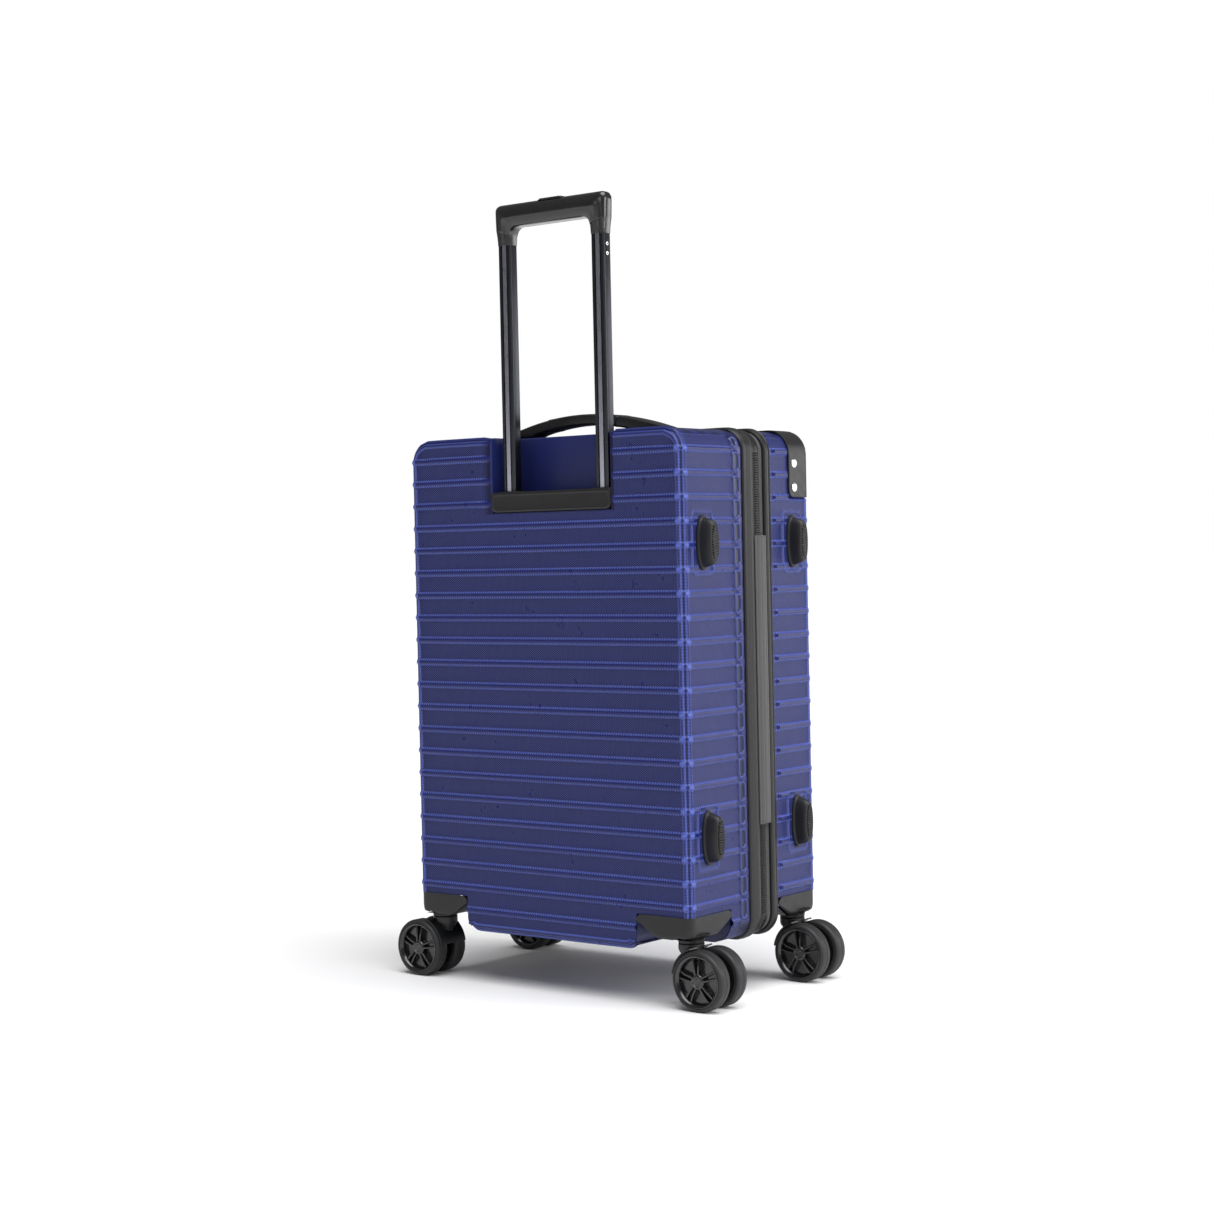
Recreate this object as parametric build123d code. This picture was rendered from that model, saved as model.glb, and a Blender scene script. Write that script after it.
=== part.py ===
from build123d import *
import os

# Hard shell cabin suitcase on four double-wheel casters, in millimetres.
# +Z is up from the floor, +Y faces the trolley side (back), -Y the lid side (front).
# The origin is on the floor, below the middle of the case.

# Case outline and shells
PITCH = 22.8                     # distance between the horizontal ribs
CASE_WIDTH = 343.3
CASE_BOTTOM = 54.0
CASE_TOP = 551.1
CORNER_RADIUS = 25.0
WALL = 2.5
BACK_FACE = 107.85               # y of the back panel; the front panel is at -BACK_FACE
BACK_RIM = 9.0                   # y where the back shell ends
FRONT_RIM = -38.3                # y where the front shell ends
FACE_FILLET = 8.0
RIB_HEIGHT = 6.4
RIB_DEPTH = 2.4
TOP_RIB = 530.6
RIB_COUNT = 21
SLIT = 0.3                       # gap left between neighbouring pieces

# Zip band between the shells
ZIP_PLANE = -16.0
COIL_GAP = 1.0
COIL_WIDTH = 5.0
HINGE_STRIP_BOTTOM = 164.8
HINGE_STRIP_TOP = 447.8

# Trolley
TROLLEY_X = -12.0
TUBE_SPACING = 118.0
TUBE_Y = 93.95
TRAVEL = 244.0
RECESS_WIDTH = 152.0
RECESS_DEPTH = 42.0
RECESS_FLOOR = 475.5
BEZEL_TOP = 496.2
INNER_TUBE = (16.0, 11.0)
MIDDLE_TUBE = (19.4, 14.4)
OUTER_TUBE = (22.6, 17.6)
TUBE_WALL = 1.2
INNER_TUBE_Z = (426.0, 764.0)
MIDDLE_TUBE_Z = (165.0, 484.0)
OUTER_TUBE_Z = (66.0, 480.0)
GRIP_WIDTH = 131.0
GRIP_BOTTOM = 741.6
GRIP_BAR_Z = (761.0, 782.0)
GRIP_RIVET_Z = (722.5, 731.8)     # heads nearly flush, so they pass the collars
LOCK_PIN_Z = 436.0

# Carry handles
HANDLE_HALF = 104.0
HANDLE_WIDTH = 24.0
HANDLE_RISE = 21.6
POST_X = 90.0
TOP_HANDLE = (-10.0, 41.0)       # x, y of the middle of the top handle
SIDE_HANDLE = (58.0, 303.0)      # y, z of the middle of the side handle

# Side feet, corner guards and combination lock
FOOT_WIDTH = 20.0
FOOT_LENGTH = 52.0
FOOT_RISE = 16.5
FOOT_Z = (161.2, 441.6)
BACK_FOOT_Y = 76.75
FRONT_FOOT_Y = -77.5
GUARD_START = -71.8              # y where the corner guards begin
GUARD_BOTTOM = 485.4
GUARD_REACH = 42.0
GUARD_RIVET_Y = -80.75
GUARD_RIVET_Z = (495.5, 519.5)
LOCK_Y = (11.5, 33.5)
LOCK_Z = (264.0, 342.0)
LOCK_X = (163.0, 178.4)
DIAL_Z = (284.0, 292.0, 300.0)
DIAL_X = 172.6
PULL_Z = (266.5, 339.5)

# Casters
SWIVEL_X = 157.3
SWIVEL_Y = 87.3
TRAIL = 20.5
WHEEL_RADIUS = 29.0
HUB_RADIUS = 23.3
WHEEL_INNER = 6.2                # from the caster's middle plane to the wheel
WHEEL_OUTER = 21.8
HOUSING_LENGTH = 63.8
HOUSING_TOP = 88.0
HOUSING_BOTTOM = 66.0
NECK_BOTTOM = 62.0

CASE_HEIGHT = CASE_TOP - CASE_BOTTOM
CASE_MIDDLE = (CASE_TOP + CASE_BOTTOM) / 2
SIDE = CASE_WIDTH / 2
TUBE_X = [TROLLEY_X - TUBE_SPACING / 2, TROLLEY_X + TUBE_SPACING / 2]
RIB_Z = [TOP_RIB - PITCH * i for i in range(RIB_COUNT)]


def block(x0, x1, y0, y1, z0, z1):
    """Box from its lowest to its highest corner."""
    size = (abs(x1 - x0), abs(y1 - y0), abs(z1 - z0))
    return Pos((x0 + x1) / 2, (y0 + y1) / 2, (z0 + z1) / 2) * Box(*size)


def outline(offset, y0, y1):
    """The case's rounded outline, grown by offset, from y0 to y1."""
    plane = Plane(origin=(0, max(y0, y1), CASE_MIDDLE), x_dir=(1, 0, 0), z_dir=(0, -1, 0))
    shape = RectangleRounded(CASE_WIDTH + 2 * offset, CASE_HEIGHT + 2 * offset,
                             CORNER_RADIUS + offset)
    return extrude(plane * shape, abs(y1 - y0))


def pan(offset, rim, face, rounding):
    """Outline block whose edge round the face is rounded."""
    body = outline(offset, rim, face)
    edges = body.edges().group_by(Axis.Y)[-1 if face > rim else 0]
    return fillet(edges, rounding)


def ring(outside, inside, y0, y1):
    """Band that follows the case outline."""
    return outline(outside, y0, y1) - outline(inside, y0 - 1, y1 + 1)


def upright(size, x, y, z0, z1, radius):
    """Upright bar of rounded rectangular section."""
    shape = RectangleRounded(size[0], size[1], radius)
    return extrude(Pos(x, y, z0) * shape, z1 - z0)


def tube(size, x, z_span):
    """Upright rounded rectangular tube at the trolley's depth."""
    inner = (size[0] - 2 * TUBE_WALL, size[1] - 2 * TUBE_WALL)
    outside = upright(size, x, TUBE_Y, z_span[0], z_span[1], 3.0)
    return outside - upright(inner, x, TUBE_Y, z_span[0] - 1, z_span[1] + 1, 2.0)


def rod(radius, start, axis, length):
    """Cylinder from a start point along an axis."""
    plane = Plane(origin=start, z_dir=axis)
    return extrude(plane * Circle(radius), length)


def save(name, *solids):
    """One STEP file for one node, whose solids share a material."""
    shape = solids[0] if len(solids) == 1 else Compound(children=list(solids))
    export_step(shape, os.path.join("parts", name + ".step"))


def recess_box(grow):
    """Space of the trolley recess, grown into the case by a wall thickness."""
    half = RECESS_WIDTH / 2 + grow
    return block(TROLLEY_X - half, TROLLEY_X + half, BACK_FACE - RECESS_DEPTH - grow,
                 BACK_FACE + 20, RECESS_FLOOR - grow, CASE_TOP + 20)


def housing_boxes(facing, grow):
    """Spaces of one half's two caster housings, grown into the case."""
    inner_x = SIDE - HOUSING_LENGTH - grow
    inner_y = facing * (BACK_FACE - HOUSING_LENGTH - grow - 3.2)
    return [block(side * inner_x, side * (SIDE + 20), inner_y, facing * (BACK_FACE + 20),
                  CASE_BOTTOM - 20, HOUSING_TOP + grow) for side in (-1, 1)]


def rib_windows(facing):
    """Boxes that keep the ribs off the feet, guards, lock and side handle."""
    y_foot = BACK_FOOT_Y if facing > 0 else FRONT_FOOT_Y
    windows = [block(-SIDE - 9, -SIDE, y_foot - 16, y_foot + 16, z - 29, z + 29)
               for z in FOOT_Z]
    if facing > 0:
        y, z = SIDE_HANDLE
        windows.append(block(SIDE, SIDE + 9, y - 15, y + 15, z - 110, z + 110))
        windows.append(block(SIDE, SIDE + 9, BACK_RIM, LOCK_Y[1] + 2, LOCK_Z[0] - 3,
                             LOCK_Z[1] + 3))
    else:
        for side in (-1, 1):
            windows.append(block(side * (SIDE - GUARD_REACH - 1), side * (SIDE + 9),
                                 GUARD_START + 1, -BACK_FACE - 9, GUARD_BOTTOM - 1,
                                 CASE_TOP + 9))
    return windows


def shell_half(facing, rim):
    """Hollow ribbed half of the case with its recesses, without fastener holes."""
    face = facing * BACK_FACE
    skin = pan(0, rim, face, FACE_FILLET)
    hollow = pan(-WALL, rim - facing * 5, face - facing * WALL, FACE_FILLET - 2)
    walls = skin - hollow
    rib_skin = pan(RIB_DEPTH, rim + facing * 6, face + facing * RIB_DEPTH,
                   FACE_FILLET + 1)
    rib_half = RIB_HEIGHT / 2
    bars = []
    for index, z in enumerate(RIB_Z):
        on_face_only = index in (0, RIB_COUNT - 1)
        reach = SIDE - CORNER_RADIUS if on_face_only else SIDE + 9
        start = face - facing * 4 if on_face_only else rim
        bars.append(block(-reach, reach, start, face + facing * 9,
                          z - rib_half, z + rib_half))
    for side in (-1, 1):
        inset = side * (SIDE - 5)
        bars.append(block(inset - 3, inset + 3, face - facing * 4, face + facing * 9,
                          HOUSING_TOP, CASE_TOP - CORNER_RADIUS))
    ribs = (rib_skin & Part() + bars) - hollow
    for window in rib_windows(facing):
        ribs -= window
    half = walls + ribs
    for space in housing_boxes(facing, WALL):
        half += space & skin
    for space in housing_boxes(facing, 0):
        half -= space
    return half


def handle_frames():
    """Planes of the top and side handles: local X along the grip, Z outwards."""
    top = Plane(origin=(TOP_HANDLE[0], TOP_HANDLE[1], CASE_TOP),
                x_dir=(1, 0, 0), z_dir=(0, 0, 1))
    side = Plane(origin=(SIDE, SIDE_HANDLE[0], SIDE_HANDLE[1]),
                 x_dir=(0, 0, 1), z_dir=(1, 0, 0))
    return {"top": top, "side": side}


def make_back_shell():
    skin = pan(0, BACK_RIM, BACK_FACE, FACE_FILLET)
    shell = shell_half(1, BACK_RIM)
    shell += recess_box(WALL) & skin
    shell -= recess_box(0)
    for x in TUBE_X:
        shell -= upright((23.0, 18.0), x, TUBE_Y, RECESS_FLOOR - 6, RECESS_FLOOR + 1, 3.0)
    for plane in handle_frames().values():
        for x in (-POST_X, POST_X):
            shell -= plane * Pos(x, 0, -5) * Cylinder(6.7, 20)
    shell -= block(SIDE - 9, SIDE + 9, LOCK_Y[0] - 0.2, LOCK_Y[1] + 0.2,
                   LOCK_Z[0] - 0.2, LOCK_Z[1] + 0.2)
    save("back_shell", shell)


def guard_blank(grow):
    """Both corner guards before trimming to thickness."""
    cap = pan(RIB_DEPTH + grow, GUARD_START + grow, -BACK_FACE - RIB_DEPTH - grow,
              FACE_FILLET + 1)
    corners = [block(side * (SIDE - GUARD_REACH), side * (SIDE + 9), GUARD_START,
                     -BACK_FACE - 9, GUARD_BOTTOM, CASE_TOP + 9) for side in (-1, 1)]
    return [cap & corner for corner in corners]


def guard_rivet_points():
    return [(side, z) for side in (-1, 1) for z in GUARD_RIVET_Z]


def make_front_shell():
    shell = shell_half(-1, FRONT_RIM)
    for side, z in guard_rivet_points():
        shell -= rod(2.1, (side * (SIDE - 9), GUARD_RIVET_Y, z), (side, 0, 0), 20)
    save("front_shell", shell)


def make_corner_guards():
    skin = pan(0.1, GUARD_START + 5, -BACK_FACE - 0.1, FACE_FILLET)
    guards = []
    for guard, side in zip(guard_blank(0), (-1, 1)):
        guard -= skin
        for z in GUARD_RIVET_Z:
            guard -= rod(2.1, (side * (SIDE - 9), GUARD_RIVET_Y, z), (side, 0, 0), 20)
        guards.append(guard)
    save("corner_guards", *guards)
    rivets = []
    for side, z in guard_rivet_points():
        surface = side * (SIDE + RIB_DEPTH)
        head = rod(4.5, (surface, GUARD_RIVET_Y, z), (side, 0, 0), 1.5)
        shank = rod(2.0, (surface, GUARD_RIVET_Y, z), (-side, 0, 0), 6.0)
        tail = rod(3.6, (side * (SIDE - 3.6), GUARD_RIVET_Y, z), (side, 0, 0), 1.0)
        rivets.append(head + shank + tail)
    save("guard_rivets", *rivets)


def make_zip_band():
    """Piping, zip tapes with their coil halves, hinge strips."""
    save("back_edge_trim", ring(2.0, -2.5, ZIP_PLANE + 7, BACK_RIM - SLIT))
    save("front_edge_trim", ring(2.0, -2.5, FRONT_RIM + SLIT, ZIP_PLANE - 12.2))
    half_gap = COIL_GAP / 2
    for name, facing, tape_end in (("back_zip_tape", 1, ZIP_PLANE + 7 - SLIT),
                                   ("front_zip_tape", -1, ZIP_PLANE - 12.2 + SLIT)):
        start = ZIP_PLANE + facing * half_gap
        coil_end = start + facing * COIL_WIDTH
        coil = ring(0.6, -3.0, min(start, coil_end), max(start, coil_end))
        tape_start = coil_end - facing * 0.5
        tape = ring(-0.8, -2.2, min(tape_start, tape_end), max(tape_start, tape_end))
        save(name, coil + tape)
    near, far = -SIDE - 0.8, -SIDE - 2.2
    save("hinge_strip_back", block(far, near, ZIP_PLANE + 0.2, ZIP_PLANE + 7.0,
                                   HINGE_STRIP_BOTTOM, HINGE_STRIP_TOP))
    save("hinge_strip_front", block(far, near, ZIP_PLANE - 8.0, ZIP_PLANE - 0.2,
                                    HINGE_STRIP_BOTTOM, HINGE_STRIP_TOP))


def cavity(facing, rim, offset):
    """Room inside one half, with bulges over whatever stands inside the shell."""
    face = facing * (BACK_FACE - offset)
    room = pan(-offset, rim, face, FACE_FILLET - offset + 0.5)
    grow = offset
    for space in housing_boxes(facing, grow):
        room -= space
    if facing > 0:
        room -= recess_box(grow)
        half = TUBE_SPACING / 2 + OUTER_TUBE[0] / 2 + grow
        room -= block(TROLLEY_X - half, TROLLEY_X + half, TUBE_Y - 9 - grow, BACK_FACE,
                      CASE_BOTTOM, CASE_TOP)
        for x in (-POST_X, POST_X):
            middle = TOP_HANDLE[0] + x
            room -= block(middle - 8 - grow, middle + 8 + grow, TOP_HANDLE[1] - 8 - grow,
                          TOP_HANDLE[1] + 8 + grow, CASE_TOP - 13 - grow, CASE_TOP)
            middle = SIDE_HANDLE[1] + x
            room -= block(SIDE - 13 - grow, SIDE, SIDE_HANDLE[0] - 8 - grow,
                          SIDE_HANDLE[0] + 8 + grow, middle - 8 - grow, middle + 8 + grow)
        room -= block(LOCK_X[0] - grow, SIDE, LOCK_Y[0] - 30, LOCK_Y[1] + grow,
                      LOCK_Z[0] - grow, LOCK_Z[1] + grow)
    else:
        for side in (-1, 1):
            room -= block(side * (SIDE - 3 - grow), side * SIDE, GUARD_RIVET_Y - 4 - grow,
                          GUARD_RIVET_Y + 4 + grow, GUARD_RIVET_Z[0] - 4 - grow, CASE_TOP)
    return room


def make_linings():
    """Cloth lining of each half, the strapped half's belts and the lid's divider."""
    for name, facing, rim in (("back_lining", 1, BACK_RIM), ("front_lining", -1, FRONT_RIM)):
        cloth = cavity(facing, rim, 3.0)
        room = cavity(facing, rim - facing * 4, 3.8)
        save(name, cloth - room)
    strap_y = BACK_RIM + 4
    straps = []
    for side in (-1, 1):
        for end in (CASE_TOP - 16, CASE_BOTTOM + 16):
            start = Vector(side * 120, strap_y, end)
            direction = Vector(0, strap_y, CASE_MIDDLE) - start
            length = direction.length - 28
            unit = direction.normalized()
            middle = start + unit * (length / 2)
            plane = Plane(origin=middle, x_dir=unit, z_dir=(0, 1, 0))
            straps.append(plane * Box(length, 25, 1.2))
    save("packing_straps", *straps)
    buckle = block(-20, 20, strap_y - 3, strap_y + 3, CASE_MIDDLE - 16, CASE_MIDDLE + 16)
    save("strap_buckle", fillet(buckle.edges().filter_by(Axis.Y), 8))
    save("divider_panel", outline(-5, FRONT_RIM + 4, FRONT_RIM + 5.2))


def make_trolley():
    """Bezel, telescopic tubes, grip and the release that runs inside them."""
    half = RECESS_WIDTH / 2 - SLIT
    bezel = block(TROLLEY_X - half, TROLLEY_X + half, BACK_FACE - 34, BACK_FACE + 1.2,
                  RECESS_FLOOR + SLIT, BEZEL_TOP)
    bezel = fillet(bezel.edges().filter_by(Axis.Y).group_by(Axis.Z)[0], 6)
    for x in TUBE_X:
        bezel -= upright((22.0, 17.0), x, TUBE_Y, RECESS_FLOOR, BEZEL_TOP + 1, 3.0)
        bezel -= upright((23.0, 18.0), x, TUBE_Y, RECESS_FLOOR, OUTER_TUBE_Z[1] + 0.2, 3.0)
    save("trolley_bezel", bezel)
    save("trolley_outer_tubes", *[tube(OUTER_TUBE, x, OUTER_TUBE_Z) for x in TUBE_X])
    foot_half = TUBE_SPACING / 2 + OUTER_TUBE[0] / 2 + 2
    save("trolley_tube_foot", block(TROLLEY_X - foot_half, TROLLEY_X + foot_half,
                                    TUBE_Y - 9.5, TUBE_Y + 7.0, CASE_BOTTOM + WALL + SLIT,
                                    OUTER_TUBE_Z[0]))
    middle, collars, inner, blocks, pins = [], [], [], [], []
    for x in TUBE_X:
        pipe = tube(MIDDLE_TUBE, x, MIDDLE_TUBE_Z)
        for z in (LOCK_PIN_Z, LOCK_PIN_Z - TRAVEL):
            pipe -= rod(2.8, (x, TUBE_Y - 9, z), (0, 1, 0), 5)
        middle.append(pipe)
        collar = upright((21.4, 16.4), x, TUBE_Y, MIDDLE_TUBE_Z[1], BEZEL_TOP - SLIT, 3.0)
        collars.append(collar - upright((16.6, 11.6), x, TUBE_Y, 480, 500, 3.0))
        pipe = tube(INNER_TUBE, x, INNER_TUBE_Z)
        side = 1 if x > TROLLEY_X else -1
        for z in GRIP_RIVET_Z:
            pipe -= rod(2.25, (x + side * 4, TUBE_Y, z), (side, 0, 0), 6)
        inner.append(pipe - rod(2.6, (x, TUBE_Y - 9, LOCK_PIN_Z), (0, 1, 0), 7))
        slider = upright((13.5, 8.5), x, TUBE_Y, INNER_TUBE_Z[0], INNER_TUBE_Z[0] + 34, 1.9)
        slider -= rod(2.3, (x, TUBE_Y, LOCK_PIN_Z + 4), (0, 0, 1), 40)
        slider -= rod(2.55, (x, TUBE_Y - 9, LOCK_PIN_Z), (0, 1, 0), 13.2)
        blocks.append(slider)
        pins.append(rod(2.5, (x, TUBE_Y - 5.85, LOCK_PIN_Z), (0, 1, 0), 6.3))
    save("trolley_middle_tubes", *middle)
    save("middle_tube_collars", *collars)
    save("trolley_inner_tubes", *inner)
    save("lock_blocks", *blocks)
    save("lock_pins", *pins)
    make_grip()


def make_grip():
    half = GRIP_WIDTH / 2
    low, high = GRIP_BAR_Z
    bar = block(TROLLEY_X - half, TROLLEY_X + half, TUBE_Y - 11, TUBE_Y + 11, low, high)
    bar = fillet(bar.edges().filter_by(Axis.X), 5)
    grip = bar
    for x in TUBE_X:
        grip += upright((18.6, 14.6), x, TUBE_Y, GRIP_BOTTOM, low + 8, 4.0)
    grip -= block(TROLLEY_X - 62, TROLLEY_X + 62, TUBE_Y - 7, TUBE_Y + 7, 766.5, 779.5)
    for x in TUBE_X:
        grip -= upright((16.1, 11.1), x, TUBE_Y, GRIP_BOTTOM - 1, INNER_TUBE_Z[1] + 0.2, 3.0)
        grip -= rod(3.0, (x, TUBE_Y, INNER_TUBE_Z[1]), (0, 0, 1), 4)
    grip -= upright((28.6, 11.6), TROLLEY_X, TUBE_Y, 778, high + 2, 3.0)
    save("trolley_grip", grip)
    button = upright((28, 11), TROLLEY_X, TUBE_Y, 775, high + 1.6, 2.7)
    button += upright((34, 13), TROLLEY_X, TUBE_Y, 775, 778.9, 2.0)
    save("release_button", button)
    rods = block(TROLLEY_X - 61, TROLLEY_X + 61, TUBE_Y - 4, TUBE_Y + 4, 771.5, 775)
    for x in TUBE_X:
        rods += rod(2.0, (x, TUBE_Y, LOCK_PIN_Z + 9), (0, 0, 1), 771.6 - LOCK_PIN_Z - 9)
    save("release_rods", rods)
    rivets = []
    for side, x in zip((-1, 1), TUBE_X):
        for z in GRIP_RIVET_Z:
            inside = x + side * (INNER_TUBE[0] / 2 - 1.0)
            rivets.append(rod(2.2, (inside, TUBE_Y, z), (side, 0, 0), 1.15))
    save("grip_rivets", *rivets)


def make_handles():
    """Spring carry handles: one arched grip each, on two sockets in the shell."""
    half = HANDLE_HALF
    top_arc = ThreePointArc((-half + 4, 5), (0, HANDLE_RISE), (half - 4, 5))
    low_arc = ThreePointArc((62, 2.5), (0, HANDLE_RISE - 11), (-62, 2.5))
    right = Polyline((half - 4, 5), (half, 0.4), (66, 0.4), (62, 2.5))
    left = Polyline((-62, 2.5), (-66, 0.4), (-half, 0.4), (-half + 4, 5))
    profile = make_face([*top_arc.edges(), *right.edges(), *low_arc.edges(),
                         *left.edges()])
    arch = extrude(Plane.XZ * profile, HANDLE_WIDTH / 2, both=True)
    for x in (-POST_X, POST_X):
        arch += Pos(x, 0, -5.25) * Cylinder(3.0, 12.5)
    mounts = []
    for name, plane in handle_frames().items():
        save(name + "_handle_grip", plane * arch)
        for x in (-POST_X, POST_X):
            socket = Pos(x, 0, -6.65) * Cylinder(6.5, 13.7)
            socket += Pos(x, 0, -3.95) * Cylinder(7.8, 2.3)
            socket -= Pos(x, 0, -5.8) * Cylinder(3.2, 13.4)
            mounts.append(plane * socket)
    save("handle_mounts", *mounts)


def make_side_feet():
    for name, y in (("back_side_feet", BACK_FOOT_Y), ("front_side_feet", FRONT_FOOT_Y)):
        feet = []
        for z in FOOT_Z:
            plane = Plane(origin=(-SIDE, y, z), x_dir=(0, 1, 0), z_dir=(-1, 0, 0))
            flange = extrude(plane * Ellipse(FOOT_WIDTH / 2, FOOT_LENGTH / 2), 2.5)
            wall = extrude(plane * SlotOverall(FOOT_LENGTH - 6, FOOT_WIDTH - 6,
                                               rotation=90), FOOT_RISE - 2, taper=10)
            pad = extrude(plane * SlotOverall(FOOT_LENGTH - 20, FOOT_WIDTH - 13,
                                              rotation=90), FOOT_RISE)
            feet.append(flange + wall + pad)
        save(name, *feet)


def make_lock():
    """Combination lock beside the zip, with the two sliders and their pulls."""
    middle_y = (LOCK_Y[0] + LOCK_Y[1]) / 2
    face = LOCK_X[1]
    body = block(*LOCK_X, *LOCK_Y, *LOCK_Z)
    for z in DIAL_Z:
        body -= rod(6.9, (DIAL_X, middle_y, z - 3.2), (0, 0, 1), 6.4)
    body += rod(1.5, (DIAL_X, middle_y, DIAL_Z[0] - 5), (0, 0, 1), 26)
    body -= rod(4.55, (face - 8, middle_y, 273.5), (1, 0, 0), 9)
    body -= block(face - 2, face + 1, middle_y - 5.3, middle_y + 5.3, 312.7, 331.3)
    for z0, z1 in ((LOCK_Z[0] - 1, 270.0), (336.0, LOCK_Z[1] + 1)):
        body -= block(face - 3.4, face + 1, LOCK_Y[0] - 1, LOCK_Y[0] + 7, z0, z1)
    save("lock_body", body)
    for number, z in enumerate(DIAL_Z, start=1):
        dial = rod(6.5, (DIAL_X, middle_y, z - 3), (0, 0, 1), 6)
        dial -= rod(1.58, (DIAL_X, middle_y, z - 4), (0, 0, 1), 8)
        save(f"lock_dial_{number}", dial)
    plug = rod(4.5, (face - 7.8, middle_y, 273.5), (1, 0, 0), 8.1)
    plug -= block(face - 4, face + 1, middle_y - 0.6, middle_y + 0.6, 270.5, 276.5)
    save("lock_key_cylinder", plug)
    button = block(face - 1.8, face + 1.4, middle_y - 5, middle_y + 5, 313, 326)
    save("lock_release", fillet(button.edges().group_by(Axis.X)[-1], 1.0))
    for name, z in zip(("lower", "upper"), PULL_Z):
        slider = block(SIDE + 0.9, SIDE + 2.7, ZIP_PLANE - 6, ZIP_PLANE + 6, z - 6, z + 6)
        slider += block(SIDE - 4.5, SIDE - 3.3, ZIP_PLANE - 6, ZIP_PLANE + 6, z - 6, z + 6)
        slider += block(SIDE - 4, SIDE + 1, ZIP_PLANE - 0.3, ZIP_PLANE + 0.3, z - 6, z + 6)
        pin_x = SIDE + 4.8
        for side in (-1, 1):
            slider += block(SIDE + 2.6, pin_x + 1.4, ZIP_PLANE - 1.6, ZIP_PLANE + 1.6,
                            z + side * 3.2, z + side * 4.6)
        slider += rod(1.0, (pin_x, ZIP_PLANE, z - 4), (0, 0, 1), 8)
        save(f"zip_slider_{name}", slider)
        pull = block(pin_x - 0.8, pin_x + 0.8, ZIP_PLANE, LOCK_Y[0] + 6, z - 2.8, z + 2.8)
        pull += rod(1.8, (pin_x, ZIP_PLANE, z - 2.8), (0, 0, 1), 5.6)
        pull -= rod(1.06, (pin_x, ZIP_PLANE, z - 4), (0, 0, 1), 8)
        save(f"zip_pull_{name}", pull)


def housing(side, facing):
    """Corner housing of one caster: a block that tapers at both ends, and a neck."""
    gap = 0.2
    x_out, x_in = SIDE - gap, SIDE - HOUSING_LENGTH + gap
    y_out, y_in = BACK_FACE - gap, BACK_FACE - HOUSING_LENGTH - 3.2 + gap
    top = HOUSING_TOP - gap
    wing = 16.0
    profile_x = [(x_out, top), (x_in, top), (x_in, top - 7), (x_in + wing, HOUSING_BOTTOM),
                 (x_out, HOUSING_BOTTOM)]
    profile_y = [(y_out, top), (y_in, top), (y_in, top - 7), (y_in + wing, HOUSING_BOTTOM),
                 (y_out, HOUSING_BOTTOM)]
    along_y = extrude(make_face(Plane.XZ * Polyline(*profile_x, close=True)), -130)
    along_x = extrude(make_face(Plane.YZ * Polyline(*profile_y, close=True)), 200)
    body = along_y & along_x
    corner = body.edges().filter_by(Axis.Z).sort_by(lambda e: (e @ 0).X + (e @ 0).Y)[-1]
    body = fillet(corner, 7)
    neck = Pos(SWIVEL_X, SWIVEL_Y, (HOUSING_BOTTOM + NECK_BOTTOM) / 2)
    body += neck * Cone(12.5, 14.0, HOUSING_BOTTOM - NECK_BOTTOM)
    body -= rod(4.05, (SWIVEL_X, SWIVEL_Y, NECK_BOTTOM - 1), (0, 0, 1), 40)
    body -= rod(8.5, (SWIVEL_X, SWIVEL_Y, 76), (0, 0, 1), 20)
    if side < 0:
        body = mirror(body, about=Plane.YZ)
    if facing < 0:
        body = mirror(body, about=Plane.XZ)
    return body


def wheel_ring(outer, inner, y0, y1):
    """Ring about the wheel's axle, in the caster's own frame."""
    ring_solid = rod(outer, (TRAIL, y0, WHEEL_RADIUS), (0, 1, 0), y1 - y0)
    return ring_solid - rod(inner, (TRAIL, y0 - 1, WHEEL_RADIUS), (0, 1, 0), y1 - y0 + 2)


def caster_fork():
    """Fork between the two wheels, with a fender over both."""
    outline_points = [(-9, 58), (10, 58), (27, 38), (28, 22), (14, 21), (8, 36), (-9, 54)]
    arm = extrude(make_face(Plane.XZ * Polyline(*outline_points, close=True)), 4.7,
                  both=True)
    fork = arm + Pos(0, 0, 58.85) * Cylinder(11, 5.7)
    fork += rod(8.0, (TRAIL, -5.6, WHEEL_RADIUS), (0, 1, 0), 11.2)
    fender = wheel_ring(WHEEL_RADIUS + 2.8, WHEEL_RADIUS + 1.2, -18.5, 18.5)
    fender &= block(-14, 15, -20, 20, 36, 62)
    fork += fender
    fork -= rod(3.05, (TRAIL, -9, WHEEL_RADIUS), (0, 1, 0), 18)
    fork -= rod(4.05, (0, 0, 50), (0, 0, 1), 12)
    return fork


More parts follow.
